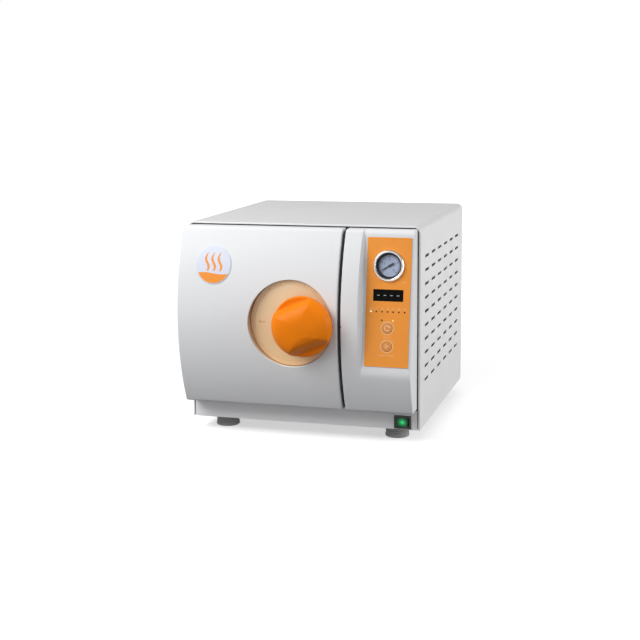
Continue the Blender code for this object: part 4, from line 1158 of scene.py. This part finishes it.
def make_lamps():
    """Indicator board behind the plate and its nine round lamps."""
    places = lamp_places()
    board = box((0.3665, 0.4325), (0.0823, 0.111), (-0.0056, -0.004), 0.0002, 1, on_panel(0, 0, 0))
    piece("lamp_board", board, BOARD, stands_for="indicator_board")
    profile = [
        (0, 0.0057), (0.0006, 0.0056), (0.0011, 0.0052), (0.0014, 0.0045), (0.0015, 0.0038),
        (0.0015, 0.0006), (0.0018, 0.0006), (0.0018, 0), (0, 0),
    ]
    for i, (x, up) in enumerate(places):
        material = {0: LAMP_WHITE, len(places) - 1: LAMP_YELLOW}.get(i, LAMP_DARK)
        piece(f"lamp_{i + 1}", lathe(profile, on_panel(x, -0.0039, up), 24), material)


def make_keys():
    """Two round keys with plain symbols: a turning arrow to choose and a triangle to start."""
    collar_r, collar_up, symbol_out = KEY_R + 0.0015, 0.0035, 0.0023
    profile = [
        (0, 0.0063), (0.005, 0.00625), (KEY_R - 0.001, 0.006), (KEY_R, 0.0052), (KEY_R, collar_up),
        (collar_r, collar_up), (collar_r, 0), (0, 0),
    ]
    radii = [0, 0.02, 0.001, 0.0006, 0.0002, 0.0002, 0.0002, 0]
    for name, z in KEY_Z.items():
        bm = turned(profile, radii, on_panel(KEY_X, -0.004, up_facet(z)), 64)
        piece(name.replace("button", "key"), bm, KEY_PLASTIC, name, name)
    up = up_facet(KEY_Z["select_button"])
    ring = band(arc(KEY_X, up, 0.0046, 0.7, 5.6, 24), 0.0015)
    tip = Vector((KEY_X + 0.0036, up))
    head = [tip + Vector(offset) for offset in ((-0.0018, 0.002), (0.0022, 0.0042), (0.0026, -0.0002))]
    marks("select_symbol", [[ring], [head]], symbol_out, INK, "select_button")
    up = up_facet(KEY_Z["start_button"])
    triangles = [
        rounded([(KEY_X - back, up - half), (KEY_X + point, up), (KEY_X - back, up + half)], radius)
        for back, point, half, radius in ((0.0032, 0.0046, 0.0042, 0.0006), (0.002, 0.0024, 0.0024, 0.0003))
    ]
    marks("start_symbol", [triangles], symbol_out, INK, "start_button")


def make_gauge():
    """Pressure gauge: polished bezel and case, a wall inside it painted black as shade, dial with its scale,
    needle and lens.
    """
    place = on_panel(GAUGE[0], PLATE_OUT, up_facet(GAUGE[1]))
    case = [
        (0, -0.028), (0.024, -0.028), (0.024, HAIR), (0.0285, HAIR), (0.0285, 0.0032), (0.0268, 0.0052),
        (0.0246, 0.0052), (0.0232, 0.003), (0.023, -0.0195), (0, -0.0195),
    ]
    radii = [0, 0.002, 0.0002, 0.0006, 0.0018, 0.0016, 0.0014, 0.001, 0.0002, 0]
    bezel = turned(case, radii, place, 128, 5)
    piece("gauge_bezel", bezel, BEZEL, stands_for="gauge_case")
    wall = [(0.0231, 0.001), (0.0229, -0.0052), (0.0196, -0.0052), (0.0222, -0.0002), (0.0228, 0.001)]
    # The wall is painted black as shade inside the bezel.
    piece("gauge_wall", lathe(wall, place, closed=True), GAUGE_WALL_SHADE)
    dial = plate([circle(0, 0, 0.0222)], 0.001, shifted(place, out=-0.006), 0.0001)
    piece("gauge_face", dial, DIAL_FACE, stands_for="gauge_dial")
    make_gauge_scale(shifted(place, out=-0.00545))
    arrow = [(0.0172, 0.0006), (0.001, 0.0011), (-0.003, 0.0017), (-0.0088, 0.0019)]
    arrow += [(u, -v) for u, v in arrow[::-1]]
    at_rest = shifted(place, out=-0.0042) @ Matrix.Rotation(math.radians(210), 4, "Z")
    pointer = plate([[Vector(point) for point in arrow]], 0.0006, at_rest, 0.0001)
    hub = [(0, 0.0016), (0.0014, 0.0014), (0.0021, 0.0008), (0.0021, -0.0008), (0, -0.0008)]
    needle = joined(pointer, lathe(hub, at_rest, 32))
    piece("gauge_pointer", needle, NEEDLE_BLUE, "needle", "gauge_needle")
    lens = [(0, 0.0016), (0.012, 0.0015), (0.019, 0.0012), (0.0222, 0.0008), (0.0222, 0.0003), (0, 0.0003)]
    piece("gauge_glass", lathe(lens, place), LENS_GLASS, stands_for="gauge_lens")


def make_gauge_scale(place):
    """Ticks round the dial, five numerals and the line that the ticks stand on."""
    start, sweep, count = math.radians(225), math.radians(270), 40
    thick, numeral_r, tick_end = 0.00005, 0.0104, 0.0184
    scale = []
    for i in range(count + 1):
        angle = start - sweep * i / count
        inner, wide = (0.0162, 0.0004) if i % 10 else (0.014, 0.001)
        scale.append(plate([band([polar(r, angle) for r in (inner, tick_end)], wide)], thick, place))
    for i in range(5):
        scale.append(digit(str(i), shifted(place, *polar(numeral_r, start - sweep * i / 4))))
    scale.append(plate([band(arc(0, 0, 0.0187, start, start - sweep, 48), 0.0004)], thick, place))
    piece("gauge_scale", joined(*scale), DARK_INK)


def digit(text, place):
    """A small numeral lying on the plane of a frame, centred on its origin."""
    curve = bpy.data.curves.new("numeral", "FONT")
    curve.body = text
    curve.size = 0.0058
    curve.align_x, curve.align_y = "CENTER", "CENTER"
    curve.extrude = 0.00003
    curve.resolution_u = 3
    bm = mesh_of_curve(curve)
    bm.transform(place)
    return bm


def make_switch():
    """Rocker switch: moulded frame and a lit green rocker."""
    cx, cz = SWITCH
    x, y, z = (span("switch_bezel", axis) for axis in "xyz")
    bezel = box(x, (y[0], -HAIR), z, 0.0009)
    body = box(about(cx, 0.0145), (-0.001, 0.022), about(cz, 0.0108), 0.0005, 2)
    hollow = box(about(cx, 0.0125), (-0.01, 0.01), about(cz, 0.009), 0.0006, 2)
    bm = carve(carve(bezel, [body], "UNION"), [hollow])
    piece("switch_frame", bm, BLACK_PLASTIC, stands_for="switch_bezel")
    half, pivot = 0.0112, 0.0025
    front, middle_front, side, back = (y - pivot for y in (-0.004, -0.0018, 0.001, 0.005))
    outline = [
        (-half, front), (0, middle_front), (half, front), (half, side),
        (0.004, back), (-0.004, back), (-half, side),
    ]
    outline = rounded(outline, [0.0006, 0.06, 0.0006, 0.002, 0.002, 0.002, 0.002], 8)
    bm = plate([outline], 0.0172, facing((cx, pivot, cz), "up", -math.radians(8)), 0.0005)
    piece("switch_key", bm, GREEN_LENS, "rocker", "switch_rocker")


def on_skin(x, z, proud):
    return at(x, skin_y(z, proud), z)


def make_badge():
    """Round badge on the door: pale disc, orange lower part like water, and three wisps of steam."""
    face, brink, pin_r = HAIR + 0.001, HAIR + 0.0007, 0.0002
    radii = [pin_r, *[BADGE_R * i / 12 for i in range(1, 12)], BADGE_R - 0.0004]
    path = [(r, face) for r in radii] + [(BADGE_R, brink), (BADGE_R, HAIR), (pin_r, HAIR)]
    rings = [[on_skin(x, z, proud) for x, z in circle(*BADGE, r)] for r, proud in path]
    piece("badge_disc", loft(rings), BADGE_PALE, "door", "door_badge", crease=50)
    cx, cz = BADGE
    water_r, bottom, surface = 0.033, -0.0328, -0.015
    rows = []
    for i in range(25):
        lift = i / 24
        dz = bottom + (surface - bottom) * lift
        half = math.sqrt(water_r**2 - dz**2)
        ends = (Vector((cx + side * half, cz + dz - side * 0.0008 * lift)) for side in (-1, 1))
        rows.append((*ends, 0.0013 * lift))
    badge_film("badge_water", rows, face)
    for number, across in enumerate(series(-0.0125, 0.0125, 3)):
        rows = []
        for t in series(0, 1 / 32, 33):
            x = cx + across + 0.0032 * math.sin(2 * math.pi * (t + 0.05))
            half = 0.0026 * (0.35 + 0.65 * math.sin(math.pi * min(1.0, 0.12 + t * 0.88)))
            rows.append((*(Vector((end, cz - 0.011 + 0.033 * t)) for end in about(x, half)), 0.0))
        badge_film(f"badge_wisp_{number + 1}", rows, face)


def badge_film(name, rows, face):
    """Print on the badge between left and right points, each row waved by its own height."""
    rings = []
    for left, right, wave in rows:
        line = [left.lerp(right, k / 8) + Vector((0, wave * math.sin(math.pi * k / 4))) for k in range(9)]
        front = [on_skin(*point, face + 0.00008) for point in line]
        rings.append(front + [on_skin(*point, face) for point in line[::-1]])
    piece(name, loft(rings), BADGE_ORANGE, "door")


def make_dial_prints():
    """Printed ring and plain tick scale on the dial, and a small arrow at its left."""
    place = facing((WINDOW[0], DIAL_Y[0] - 0.00005, WINDOW[1]), "front")
    outlines = [band(arc(0, 0, 0.0715, math.radians(20), math.radians(285), 120), 0.0007)]
    for i, angle in enumerate(series(52, 3.6, 30)):
        ends = [polar(r, math.radians(angle)) for r in (0.0735, 0.0765)]
        outlines.append(band(ends, 0.0012 if i % 5 else 0.0022))
    upper_half = [(0, 0), (0.006, 0.0035), (0.006, 0.001), (0.015, 0.001)]
    arrow = upper_half + [(u, -v) for u, v in upper_half[:0:-1]]
    outlines.append([Vector((-0.066 + u, v)) for u, v in arrow])
    bm = joined(*[plate([outline], 0.00006, place) for outline in outlines])
    piece("dial_print", bm, DIAL_INK, "door")


# ---------------------------------------------------------------- chamber and door fittings


def make_chamber():
    """Drawn steel chamber with a machined flange, its ports, and the gasket of the door."""
    front, back = CHAMBER_Y
    inner, wall, dish = CHAMBER_R, CHAMBER_WALL, 0.014
    outer, flange_back = inner + wall, front + 0.01
    profile = [
        (0, back + wall), (outer - dish, back + wall), (outer, back - dish), (outer, flange_back),
        (FLANGE_R, flange_back), (FLANGE_R, front), (inner, front), (inner, back - dish),
        (inner - dish, back), (0, back),
    ]
    radii = [0, 0.006, 0.008, 0.001, 0.0008, 0.0008, 0.0015, 0.008, 0.006, 0]
    place = facing((CHAMBER[0], 0, CHAMBER[1]), "back")
    vessel = turned(profile, radii, place, ROUND, 4)
    piece("chamber", vessel, STEEL, stands_for="chamber_vessel")
    lip = [
        (0.1185, -0.0063), (0.1185, -0.0074), (0.1205, -0.008), (0.123, -0.0076), (0.1252, -0.008),
        (0.1275, -0.0074), (0.1275, -0.0063),
    ]
    seal = lathe(rounded(lip, 0.0004, 3), place, ROUND, closed=True)
    piece("door_seal", seal, SILICONE, stands_for="door_gasket")
    nut_h, nut_w = 0.003, 0.004
    for name, radius, reach, across, up in (
        ("probe", 0.0025, 0.06, 0.055, 0.03),
        ("steam_port", 0.0065, 0.01, -0.05, 0.055),
        ("drain_port", 0.0085, 0.006, 0.0, -0.093),
    ):
        nut_r = radius + nut_w
        tip = [(0, reach), (radius, reach), (radius, nut_h), (nut_r, nut_h), (nut_r, 0), (0, 0)]
        port = facing((CHAMBER[0] + across, back - HAIR, CHAMBER[1] + up), "front")
        piece("chamber_" + name, turned(tip, 0.0008, port, 40), STEEL)


def make_trays():
    """Three perforated trays with rolled rims on the ledges of a folded rack."""
    corner_r = 0.009
    for name in TRAYS:
        x, y, z = (span(name, axis) for axis in "xyz")
        cx, cy, height = middle(x), middle(y), length(z)
        holes = [
            circle(cx + 0.0155 * i, cy + 0.0165 * j, 0.003, 16) for i in range(-4, 5) for j in range(-9, 10)
        ]
        level = facing((0, 0, z[0] + 0.0006), "up")
        floor = plate([rectangle(x, y, corner_r), *holes], 0.0011, level, 0.0001)
        rim = [
            (0.0004, 0.0002), (0.0002, height - 0.0012), (-0.0004, height - 0.0004), (0.0008, height),
            (0.002, height - 0.0004), (0.0016, height - 0.0014), (0.0016, 0.001),
        ]
        walls = []
        for inset, up in rim:
            line = rectangle(grown(x, -inset), grown(y, -inset), corner_r - inset)
            walls.append([at(px, py, z[0] + up) for px, py in line])
        bm = joined(floor, loft(walls, closed=True))
        piece("steam_" + name, bm, STEEL, stands_for=name)
    make_rack()


def make_rack():
    """Two slotted side plates with a ledge under each tray, tied by bars across the bottom."""
    x, y, z = (span("tray_rack", axis) for axis in "xyz")
    parts = []
    for side, inward in ((x[0], 1), (x[1], -1)):
        outlines = [rectangle(y, z, 0.006)]
        outlines += [
            centred(0.07, 0.018, 0.0085, along, middle(z) + 0.0395 * row)
            for along in series(y[0] + 0.06, 0.108, 3) for row in (-0.74, 0.27, 1.0)
        ]
        place = facing((side + 0.0006 * inward, 0, 0), "sideways")
        parts.append(plate(outlines, 0.0011, place, 0.0001))
        across = sorted((side + 0.0003 * inward, side + 0.0088 * inward))
        for tray in TRAYS:
            low = span(tray, "z")[0] - HAIR
            parts.append(box(across, grown(y, -0.001), (low - 0.0014, low), 0.0004, 2))
    for bar_y in (0.05, 0.3):
        bar = grown(x, -0.0006), (bar_y, bar_y + 0.012), (z[0] + 0.0005, z[0] + 0.0024)
        parts.append(box(*bar, 0.0006, 2))
    piece("steam_tray_rack", joined(*parts), STEEL, stands_for="tray_rack")


def make_pressure_plate():
    """Dished plate that closes the chamber, with a turned step for the seal."""
    raised, dished, step = 0.008, 0.0068, 0.0062
    profile = [
        (0, raised), (0.018, raised), (0.022, dished), (0.058, dished), (0.064, raised), (0.112, raised),
        (0.118, step), (0.1285, step), (FLANGE_R, 0.0045), (FLANGE_R, 0.0008), (0.1302, 0), (0, 0),
    ]
    radii = [0, 0.002, 0.002, 0.004, 0.004, 0.004, 0.003, 0.001, 0.001, 0.0006, 0.0006, 0]
    bm = turned(profile, radii, facing((CHAMBER[0], -0.0083, CHAMBER[1]), "front"), ROUND, 4)
    piece("door_plate", bm, TURNED_STEEL, "door", "pressure_plate")


def make_bridge():
    """Cast arm from the hinge barrel to the boss that holds the plate and the knob's shaft."""
    arm = box((HINGE[0], 0.3038), (-0.034, -0.0176), (0.1832, 0.2228), 0.004)
    low, high = 0.12, 0.286
    shape = [(0, high - low), (KNUCKLE_R, high - low), (KNUCKLE_R, 0), (0, 0)]
    barrel = turned(shape, 0.0012, facing((*HINGE, low), "up"), 48)
    rib = []
    for x, (front, back), (low, high) in (
        (HINGE[0] + 0.003, (-0.0225, -0.0125), (0.13, 0.276)),
        (0.075, (-0.033, -0.018), (0.192, 0.214)),
    ):
        corners = [(front, low), (front, high), (back, high), (back, low)]
        rib.append([at(x, y, z) for y, z in rounded(corners, 0.003, 3)])
    pad = box((0.2222, 0.3033), (-0.038, -0.03), (0.1862, 0.2328), 0.002, 2)
    guide_y = (-0.0464, -0.034)
    guides = [
        box((0.2225, 0.262), guide_y, (0.2296, 0.2325), 0.0006, 2),
        box((0.292, 0.3028), guide_y, (0.1906, 0.1944), 0.0006, 2),
    ]
    bm = melted(carve(arm, [barrel, loft(rib), pad], "UNION"), 0.0016, 5)
    bores = [
        rod(HINGE_BORE_R, 0.3, (*HINGE, 0.05), "up"),
        rod(0.0055, 0.02, (KNOB[0], -0.033, KNOB[1]), "front"),
    ]
    bm = carve(carve(bm, guides, "UNION"), bores)
    piece("door_arm", bm, CAST, "door", "door_bridge", crease=50)


def make_hinge():
    """Cranked brackets on the front frame, their screws, and the hinge pin."""
    frame_y = span("front_frame", "y")[0]
    for name in ("hinge_bracket_lower", "hinge_bracket_upper"):
        z = low, high = span(name, "z")
        knuckle = rod(KNUCKLE_R, high - low, (*HINGE, low), "up", 64)
        arm = box((HINGE[0] + 0.003, 0.0285), (-0.02, -0.013), grown(z, -0.0003))
        leg = box((0.0245, 0.0285), (-0.0199, frame_y - HAIR), grown(z, -0.0006))
        foot = box((0.025, 0.052), (FOOT_Y, frame_y - 0.0005), grown(z, -0.0003))
        bm = carve(knuckle, [arm, leg, foot], "UNION")
        bm = softened(carve(bm, [rod(HINGE_BORE_R, 0.06, (*HINGE, low - 0.02), "up")]), 0.0005)
        piece(name.replace("bracket", "crank"), bm, STEEL, stands_for=name)
        places = [(x, middle(z)) for x in (0.0345, 0.0455)]
        screws(name + "_screw", places, FOOT_Y, "front", 0.0034)
    low, high = span("hinge_pin", "z")
    shaft = [(0, high - low), (0.004, high - low), (0.004, 0), (0, 0)]
    pin = turned(shaft, 0.0009, facing((*HINGE, low), "up"), 48)
    piece("hinge_rod", pin, STEEL, stands_for="hinge_pin")


def make_keeper():
    """Angle that the bolt's tongue enters, with two screws in its foot."""
    x, y = span("lock_keeper", "x"), span("lock_keeper", "y")
    wall = box((x[0], x[0] + 0.003), (-0.056, y[1]), (0.18, 0.226))
    foot = box((x[0] + 0.001, x[1]), (FOOT_Y, y[1]), (0.1805, 0.2255))
    slot = box(about(x[0], 0.01), LOCK_Y, LOCK_Z, 0.001, 2)
    bm = softened(carve(carve(wall, [foot], "UNION"), [slot]), 0.0004)
    piece("keeper_angle", bm, STEEL, stands_for="lock_keeper")
    places = [(x[1] - 0.0062, z) for z in (0.1885, 0.2175)]
    screws("keeper_screw", places, FOOT_Y, "front", SMALL_SCREW_R)


# ---------------------------------------------------------------- rear


def make_rear_fittings():
    outer = span("rear_panel", "y")[1] + HAIR
    make_fan_guard(outer)
    make_inlet(outer)
    make_hose_barbs(outer)
    make_safety_valve()
    make_air_filter()


def make_hose_barbs(outer):
    """Two barbed hose tails, each with a hexagon collar against the rear panel."""
    tip, seat = span("drain_fitting", "y")[1] - FITTING_ROOT, outer - FITTING_ROOT
    neck_r, collar_r, thread_r, collar_h = 0.0048, 0.01, 0.0064, 0.006
    barb = [(0, tip), (0.0042, tip)]
    for step in (0.007, 0.014):
        barb += [(0.0062, tip - step), (neck_r, tip - step - 0.0003)]
    barb += [(neck_r, seat + collar_h), (collar_r, seat + collar_h), (collar_r, seat), (thread_r, seat)]
    barb += [(thread_r, 0), (0, 0)]
    for node in HOSES:
        place = facing((centre_of(node)[0], FITTING_ROOT, HOSE_Z), "back")
        collar = plate([circle(0, 0, collar_r, 6)], 0.0058, shifted(place, out=seat + 0.0029), 0.0004)
        bm = joined(turned(barb, 0.0003, place, 48, 2), collar)
        piece(node.replace("fitting", "barb"), bm, BRASS, stands_for=node)


def make_air_filter():
    """Ribbed can of the air filter on its stem."""
    cap_up, can_r, rib_r, stem_r, stem_up = 0.04, 0.022, 0.024, 0.008, 0.018
    body = [(0, cap_up), (can_r, cap_up)]
    for down in series(0, 0.0045, 4):
        body += [(rib_r, 0.0385 - down), (rib_r, 0.0362 - down), (0.0228, 0.0355 - down)]
    body += [(can_r, stem_up), (stem_r, stem_up), (stem_r, 0), (0, 0)]
    bm = turned(body, 0.0005, facing((FILTER[0], FITTING_ROOT, FILTER[1]), "back"), steps=2)
    piece("air_filter_can", bm, FILTER_WHITE, stands_for="air_filter")


def make_fan_guard(outer):
    """Slotted square guard over the fan, with a screw at each corner."""
    side = length(span("fan_grille", "x"))
    slots = [centred(0.006, 0.06, 0.0029, across) for across in series(-0.03, 0.012, 6)]
    place = facing((FAN[0], outer + 0.001, FAN[1]), "back")
    bm = plate([centred(side, side, 0.006), *slots], 0.0019, place, 0.0003)
    piece("fan_guard", bm, STEEL, stands_for="fan_grille")
    corners = [(across, up) for up in about(0, 0.0365) for across in about(0, 0.0365)]
    for i, corner in enumerate(corners):
        screw(f"fan_screw_{i}", shifted(place, *corner, 0.00095), SMALL_SCREW_R)


def make_inlet(outer):
    """Mains inlet: flanged shroud with three flat pins and a fixing screw at each side."""
    cx, cz = INLET
    place = facing((cx, outer + 0.0015, cz), "back")
    flange = plate([centred(0.05, 0.028, 0.004)], 0.0029, place, 0.0006)
    body = box(about(cx, 0.0139), (0.4151, outer + 0.001), about(cz, 0.0104), 0.0008, 2)
    hollow = box(about(cx, 0.0122), (0.4215, 0.46), about(cz, 0.0082), 0.002)
    bm = carve(carve(flange, [body], "UNION"), [hollow])
    piece("mains_inlet", bm, BLACK_PLASTIC, stands_for="inlet_socket")
    for i, (across, up) in enumerate(((-0.007, -0.002), (0.0, 0.002), (0.007, -0.002))):
        pin = box(about(cx + across, 0.001), (0.4205, 0.4345), about(cz + up, 0.002), 0.0004, 2)
        piece(f"mains_pin_{i}", pin, SCREW_STEEL)
    for i, across in enumerate(about(0, 0.02)):
        screw(f"mains_screw_{i}", shifted(place, across, out=0.00145), 0.0028)


def make_safety_valve():
    """Spring-loaded valve with a hexagon at its root, and the ring that lifts it."""
    start, cap_up = CHAMBER_Y[1] + CHAMBER_WALL + HAIR, 0.064
    profile = [
        (0, cap_up), (0.0065, cap_up), (0.0085, 0.062), (0.0085, 0.052), (0.012, 0.05),
        (0.012, 0.045), (0.0114, 0.0444), (0.0114, 0.041), (0.012, 0.0404), (0.012, 0.036),
        (0.009, 0.035), (0.009, 0.01), (0.0104, 0.009), (0.0104, 0), (0, 0),
    ]
    place = facing((CHAMBER[0], start, VALVE_Z), "back")
    nut = plate([circle(0, 0, 0.011, 6)], 0.0085, shifted(place, out=0.0043), 0.0004)
    body = joined(turned(profile, 0.0005, place, 80), nut)
    piece("relief_valve", body, BRASS, stands_for="safety_valve")
    stem_y, ring_r = start + cap_up + HAIR, 0.0075
    section = [(ring_r + x, y) for x, y in circle(0, 0, 0.0014, 20)]
    hub = facing((CHAMBER[0], stem_y + 0.0022 + ring_r, VALVE_Z), "right")
    stem = rod(0.0016, 0.0025, (CHAMBER[0], stem_y, VALVE_Z), "back", 24)
    ring = joined(lathe(section, hub, 80, closed=True), stem)
    piece("relief_ring", ring, STEEL, "pull_ring", "valve_pull_ring")


# ---------------------------------------------------------------- inner works, whose CAD shapes stay


def smooth_group():
    """Geometry nodes that shade smooth across every edge but those bent more than EDGE_ANGLE."""
    group = bpy.data.node_groups.new("smooth_by_angle", "GeometryNodeTree")
    for side in ("INPUT", "OUTPUT"):
        group.interface.new_socket("Geometry", in_out=side, socket_type="NodeSocketGeometry")
    nodes, link = group.nodes, group.links.new
    start, end = nodes.new("NodeGroupInput"), nodes.new("NodeGroupOutput")
    bend = nodes.new("GeometryNodeInputMeshEdgeAngle")
    sharp = nodes.new("FunctionNodeCompare")
    sharp.operation = "GREATER_THAN"
    sharp.inputs[1].default_value = EDGE_ANGLE
    faces, edges = (nodes.new("GeometryNodeSetShadeSmooth") for _ in range(2))
    edges.domain = "EDGE"
    edges.inputs["Shade Smooth"].default_value = False
    link(bend.outputs["Unsigned Angle"], sharp.inputs[0])
    link(sharp.outputs[0], edges.inputs["Selection"])
    link(start.outputs[0], faces.inputs[0])
    link(faces.outputs[0], edges.inputs[0])
    link(edges.outputs[0], end.inputs[0])
    return group


def dress(material, *names, width=0.0003):
    """Gives CAD nodes that stay in the picture a finish, eased edges and smooth round sides."""
    for name in names:
        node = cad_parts[name]
        node.data.materials.clear()
        node.data.materials.append(material)
        weld = node.modifiers.new("weld", "WELD")
        weld.merge_threshold = 0.00001
        if width:
            bevel = node.modifiers.new("bevel", "BEVEL")
            bevel.width = width
            bevel.segments = 2
            bevel.limit_method = "ANGLE"
            bevel.angle_limit = EDGE_ANGLE
        smooth = node.modifiers.new("smooth", "NODES")
        smooth.node_group = SMOOTH


def dress_inner_works():
    """Finishes of the CAD nodes inside the cabinet."""
    dress(HEATER, "heater_band")
    dress(WOOL, "insulation_jacket", width=0)
    dress(ZINC, "chamber_cradle")
    dress(TANK, "water_tank", width=0.0012)
    dress(BLACK_PLASTIC, "water_pump", "fan_housing", "fan_rotor")
    dress(BRASS, "valve_block", width=0.0006)
    dress(COPPER, "exhaust_pipe", "gauge_line", "condenser_coil", width=0)
    dress(SILICONE, "feed_pipe", width=0)
    dress(BOARD, "main_board")
    dress(ALUMINIUM, "power_supply")
    dress(STEEL, "knob_shaft", "lock_pinion", "lock_bolt", width=0.0002)


# ---------------------------------------------------------------- stage


def make_stage():
    """Pale floor that runs out past the view and brightens away from the object."""
    bm = bmesh.new()
    bmesh.ops.create_circle(bm, cap_ends=True, segments=96, radius=FLOOR_R)
    mesh = bpy.data.meshes.new("floor")
    bm.to_mesh(mesh)
    bm.free()
    floor = linked("floor", mesh)
    floor.location.z = CAD_BOX[0].z - 0.0002
    made = Finish("floor_paper", (0.86, 0.86, 0.86, 1.0), 0.9)
    glow = made.ranged(made.radius((0, 0, 0), "z"), 0.5, 1.0, GLOW_START, GLOW_END)
    made.put(made.shader, emission_color=(1, 1, 1, 1), emission_strength=glow)
    made.patchy(0.8, 0.01)
    mesh.materials.append(made.material)
    floor.visible_diffuse = False


def make_light(name, direction, distance, size, power, shine=1.0):
    """A rectangular softbox that looks at the cabinet from a direction."""
    light = bpy.data.lights.new(name, "AREA")
    light.shape = "RECTANGLE"
    light.size, light.size_y = size
    light.energy = power
    light.specular_factor = shine
    lamp = linked(name, light)
    back = toward(direction)
    lamp.location = at(CABINET_W / 2, AIM_DEPTH, CABINET_H / 2) + back * distance
    lamp.rotation_mode = "QUATERNION"
    lamp.rotation_quaternion = back.to_track_quat("Z", "Y")


def make_world():
    """Grey room, lighter above than below and white at the horizon."""
    world = bpy.data.worlds.new("studio")
    bpy.context.scene.world = world
    world.use_nodes = True
    tree = world.node_tree
    background = tree.nodes["Background"]
    coordinates = tree.nodes.new("ShaderNodeTexCoord")
    split = tree.nodes.new("ShaderNodeSeparateXYZ")
    ramp = tree.nodes.new("ShaderNodeValToRGB")
    shift = tree.nodes.new("ShaderNodeMapRange")
    shift.inputs["From Min"].default_value = -1.0
    tree.links.new(coordinates.outputs["Generated"], split.inputs[0])
    tree.links.new(split.outputs["Z"], shift.inputs["Value"])
    tree.links.new(shift.outputs["Result"], ramp.inputs["Fac"])
    tree.links.new(ramp.outputs["Color"], background.inputs["Color"])
    elements = ramp.color_ramp.elements
    for height, _ in ROOM[1:-1]:
        elements.new(height)
    for element, (position, level) in zip(sorted(elements, key=lambda e: e.position), ROOM):
        element.position = position
        element.color = (level, level, level, 1.0)


def make_camera():
    """Camera to the right of the front and a little above, as a product shot."""
    back, roll = toward(CAMERA_DIRECTION), math.radians(CAMERA_ROLL)
    azimuth = math.radians(CAMERA_DIRECTION[0])
    right = Vector((math.cos(azimuth), math.sin(azimuth), 0.0))
    up = back.cross(right)
    rolled_right = right * math.cos(roll) + up * math.sin(roll)
    rolled_up = up * math.cos(roll) - right * math.sin(roll)
    data = bpy.data.cameras.new("camera")
    data.lens, data.sensor_width, data.clip_end = LENS, SENSOR, 200.0
    camera = linked("camera", data)
    turn = Matrix((rolled_right, rolled_up, back)).transposed().to_4x4()
    camera.matrix_world = Matrix.Translation(at(*CAMERA_PLACE)) @ turn
    bpy.context.scene.camera = camera


WHITE_COAT = powder_coat("powder_coat", srgb(229, 229, 230))
# The base tray's coat is painted lighter than the cover's, as painted light that makes up for the shade under
# the door.
LIGHTENED_APRON_COAT = powder_coat("apron_coat", srgb(250, 250, 252))
FRONT_PAINT = front_paint()
ORANGE = orange_plastic()
CREAM = cream_plastic()
RUBBER = grey_rubber()
STEEL = stainless()
ZINC = painted_steel("painted_steel", srgb(168, 170, 172))
# Painted shade: the front frame is painted dark grey so that the seams and gaps in front of it look shaded.
FRAME_SHADE_GREY = painted_steel("frame_grey", srgb(62, 63, 65))
LABEL = label_film()
KEY_PLASTIC = gloss_plastic("key_plastic", srgb(232, 150, 78), 0.5, gloss=0.25)
INK = ink("pale_ink", srgb(255, 214, 160))
INK_FAINT = ink("faint_ink", srgb(255, 196, 132))
DARK_INK = ink("dark_ink", srgb(36, 46, 84))
DIAL_INK = ink("dial_ink", srgb(226, 182, 132))
LINER = liner_plastic()
BADGE_PALE = ink("badge_pale", srgb(220, 226, 242), 0.45)
BADGE_ORANGE = ink("badge_orange", srgb(250, 150, 28))
BLACK_WINDOW = gloss_plastic("black_window", srgb(6, 6, 6), 0.14, gloss=0.08)
# Painted shade: black for the wall inside the gauge's bezel.
GAUGE_WALL_SHADE = gloss_plastic("black_rubber", srgb(14, 14, 15), 0.7, gloss=0.15)
# Painted shade: the dark strip in the seam beside the door.
SEAM_SHADE_DARK = gloss_plastic("seal_rubber", srgb(44, 44, 46), 0.7, gloss=0.15)
BLACK_PLASTIC = gloss_plastic("black_plastic", srgb(14, 14, 15), 0.45)
NEEDLE_BLUE = gloss_plastic("needle_blue", srgb(16, 20, 44), 0.45)
SEGMENT_LIT = glowing("segment_lit", srgb(176, 186, 178), 0.16)
SEGMENT_DARK = gloss_plastic("segment_dark", srgb(18, 17, 17), 0.3, gloss=0.1)
LAMP_WHITE = glowing("lamp_white", srgb(255, 238, 200), 0.75)
LAMP_YELLOW = glowing("lamp_yellow", srgb(255, 218, 132), 0.6)
LAMP_DARK = gloss_plastic("lamp_dark", srgb(96, 52, 24), 0.25)
BEZEL = polished_bezel()
DIAL_FACE = gauge_paper()
LENS_GLASS = lens_glass()
GREEN_LENS = green_rocker()
BOARD = circuit_board()
SCREW_STEEL = screw_steel()
TURNED_STEEL = turned_steel()
CAST = cast_alloy()
SILICONE = silicone_rubber()
BRASS = plain_metal("brass", srgb(216, 178, 104), 0.28)
COPPER = plain_metal("copper", srgb(212, 142, 106), 0.28)
HEATER = plain_metal("heater_sheath", srgb(138, 112, 90), 0.45)
ALUMINIUM = plain_metal("aluminium", srgb(212, 214, 216), 0.34)
WOOL = mineral_wool()
TANK = milky_plastic()
FILTER_WHITE = gloss_plastic("filter_white", srgb(230, 232, 236), 0.35)
SMOOTH = smooth_group()

make_camera()
make_world()
make_stage()
make_light("key_softbox", (-42, 37), 2.1, (1.35, 1.05), 31, 0.4)
make_light("right_softbox", (88, 12), 2.3, (1.4, 1.2), 20)

make_cover()
make_base()
make_feet()
make_front_frame()
make_rear_panel()
make_door_cover()
make_badge()
make_dial()
make_dial_prints()
make_knob()
make_fascia()
# Painted shade in the seam beside the door.
make_seam_seal()
make_control_plate()
make_gauge()
make_switch()
make_chamber()
make_trays()
make_pressure_plate()
make_bridge()
make_hinge()
make_keeper()
make_rear_fittings()
dress_inner_works()

bpy.context.scene.view_settings.view_transform = "Standard"
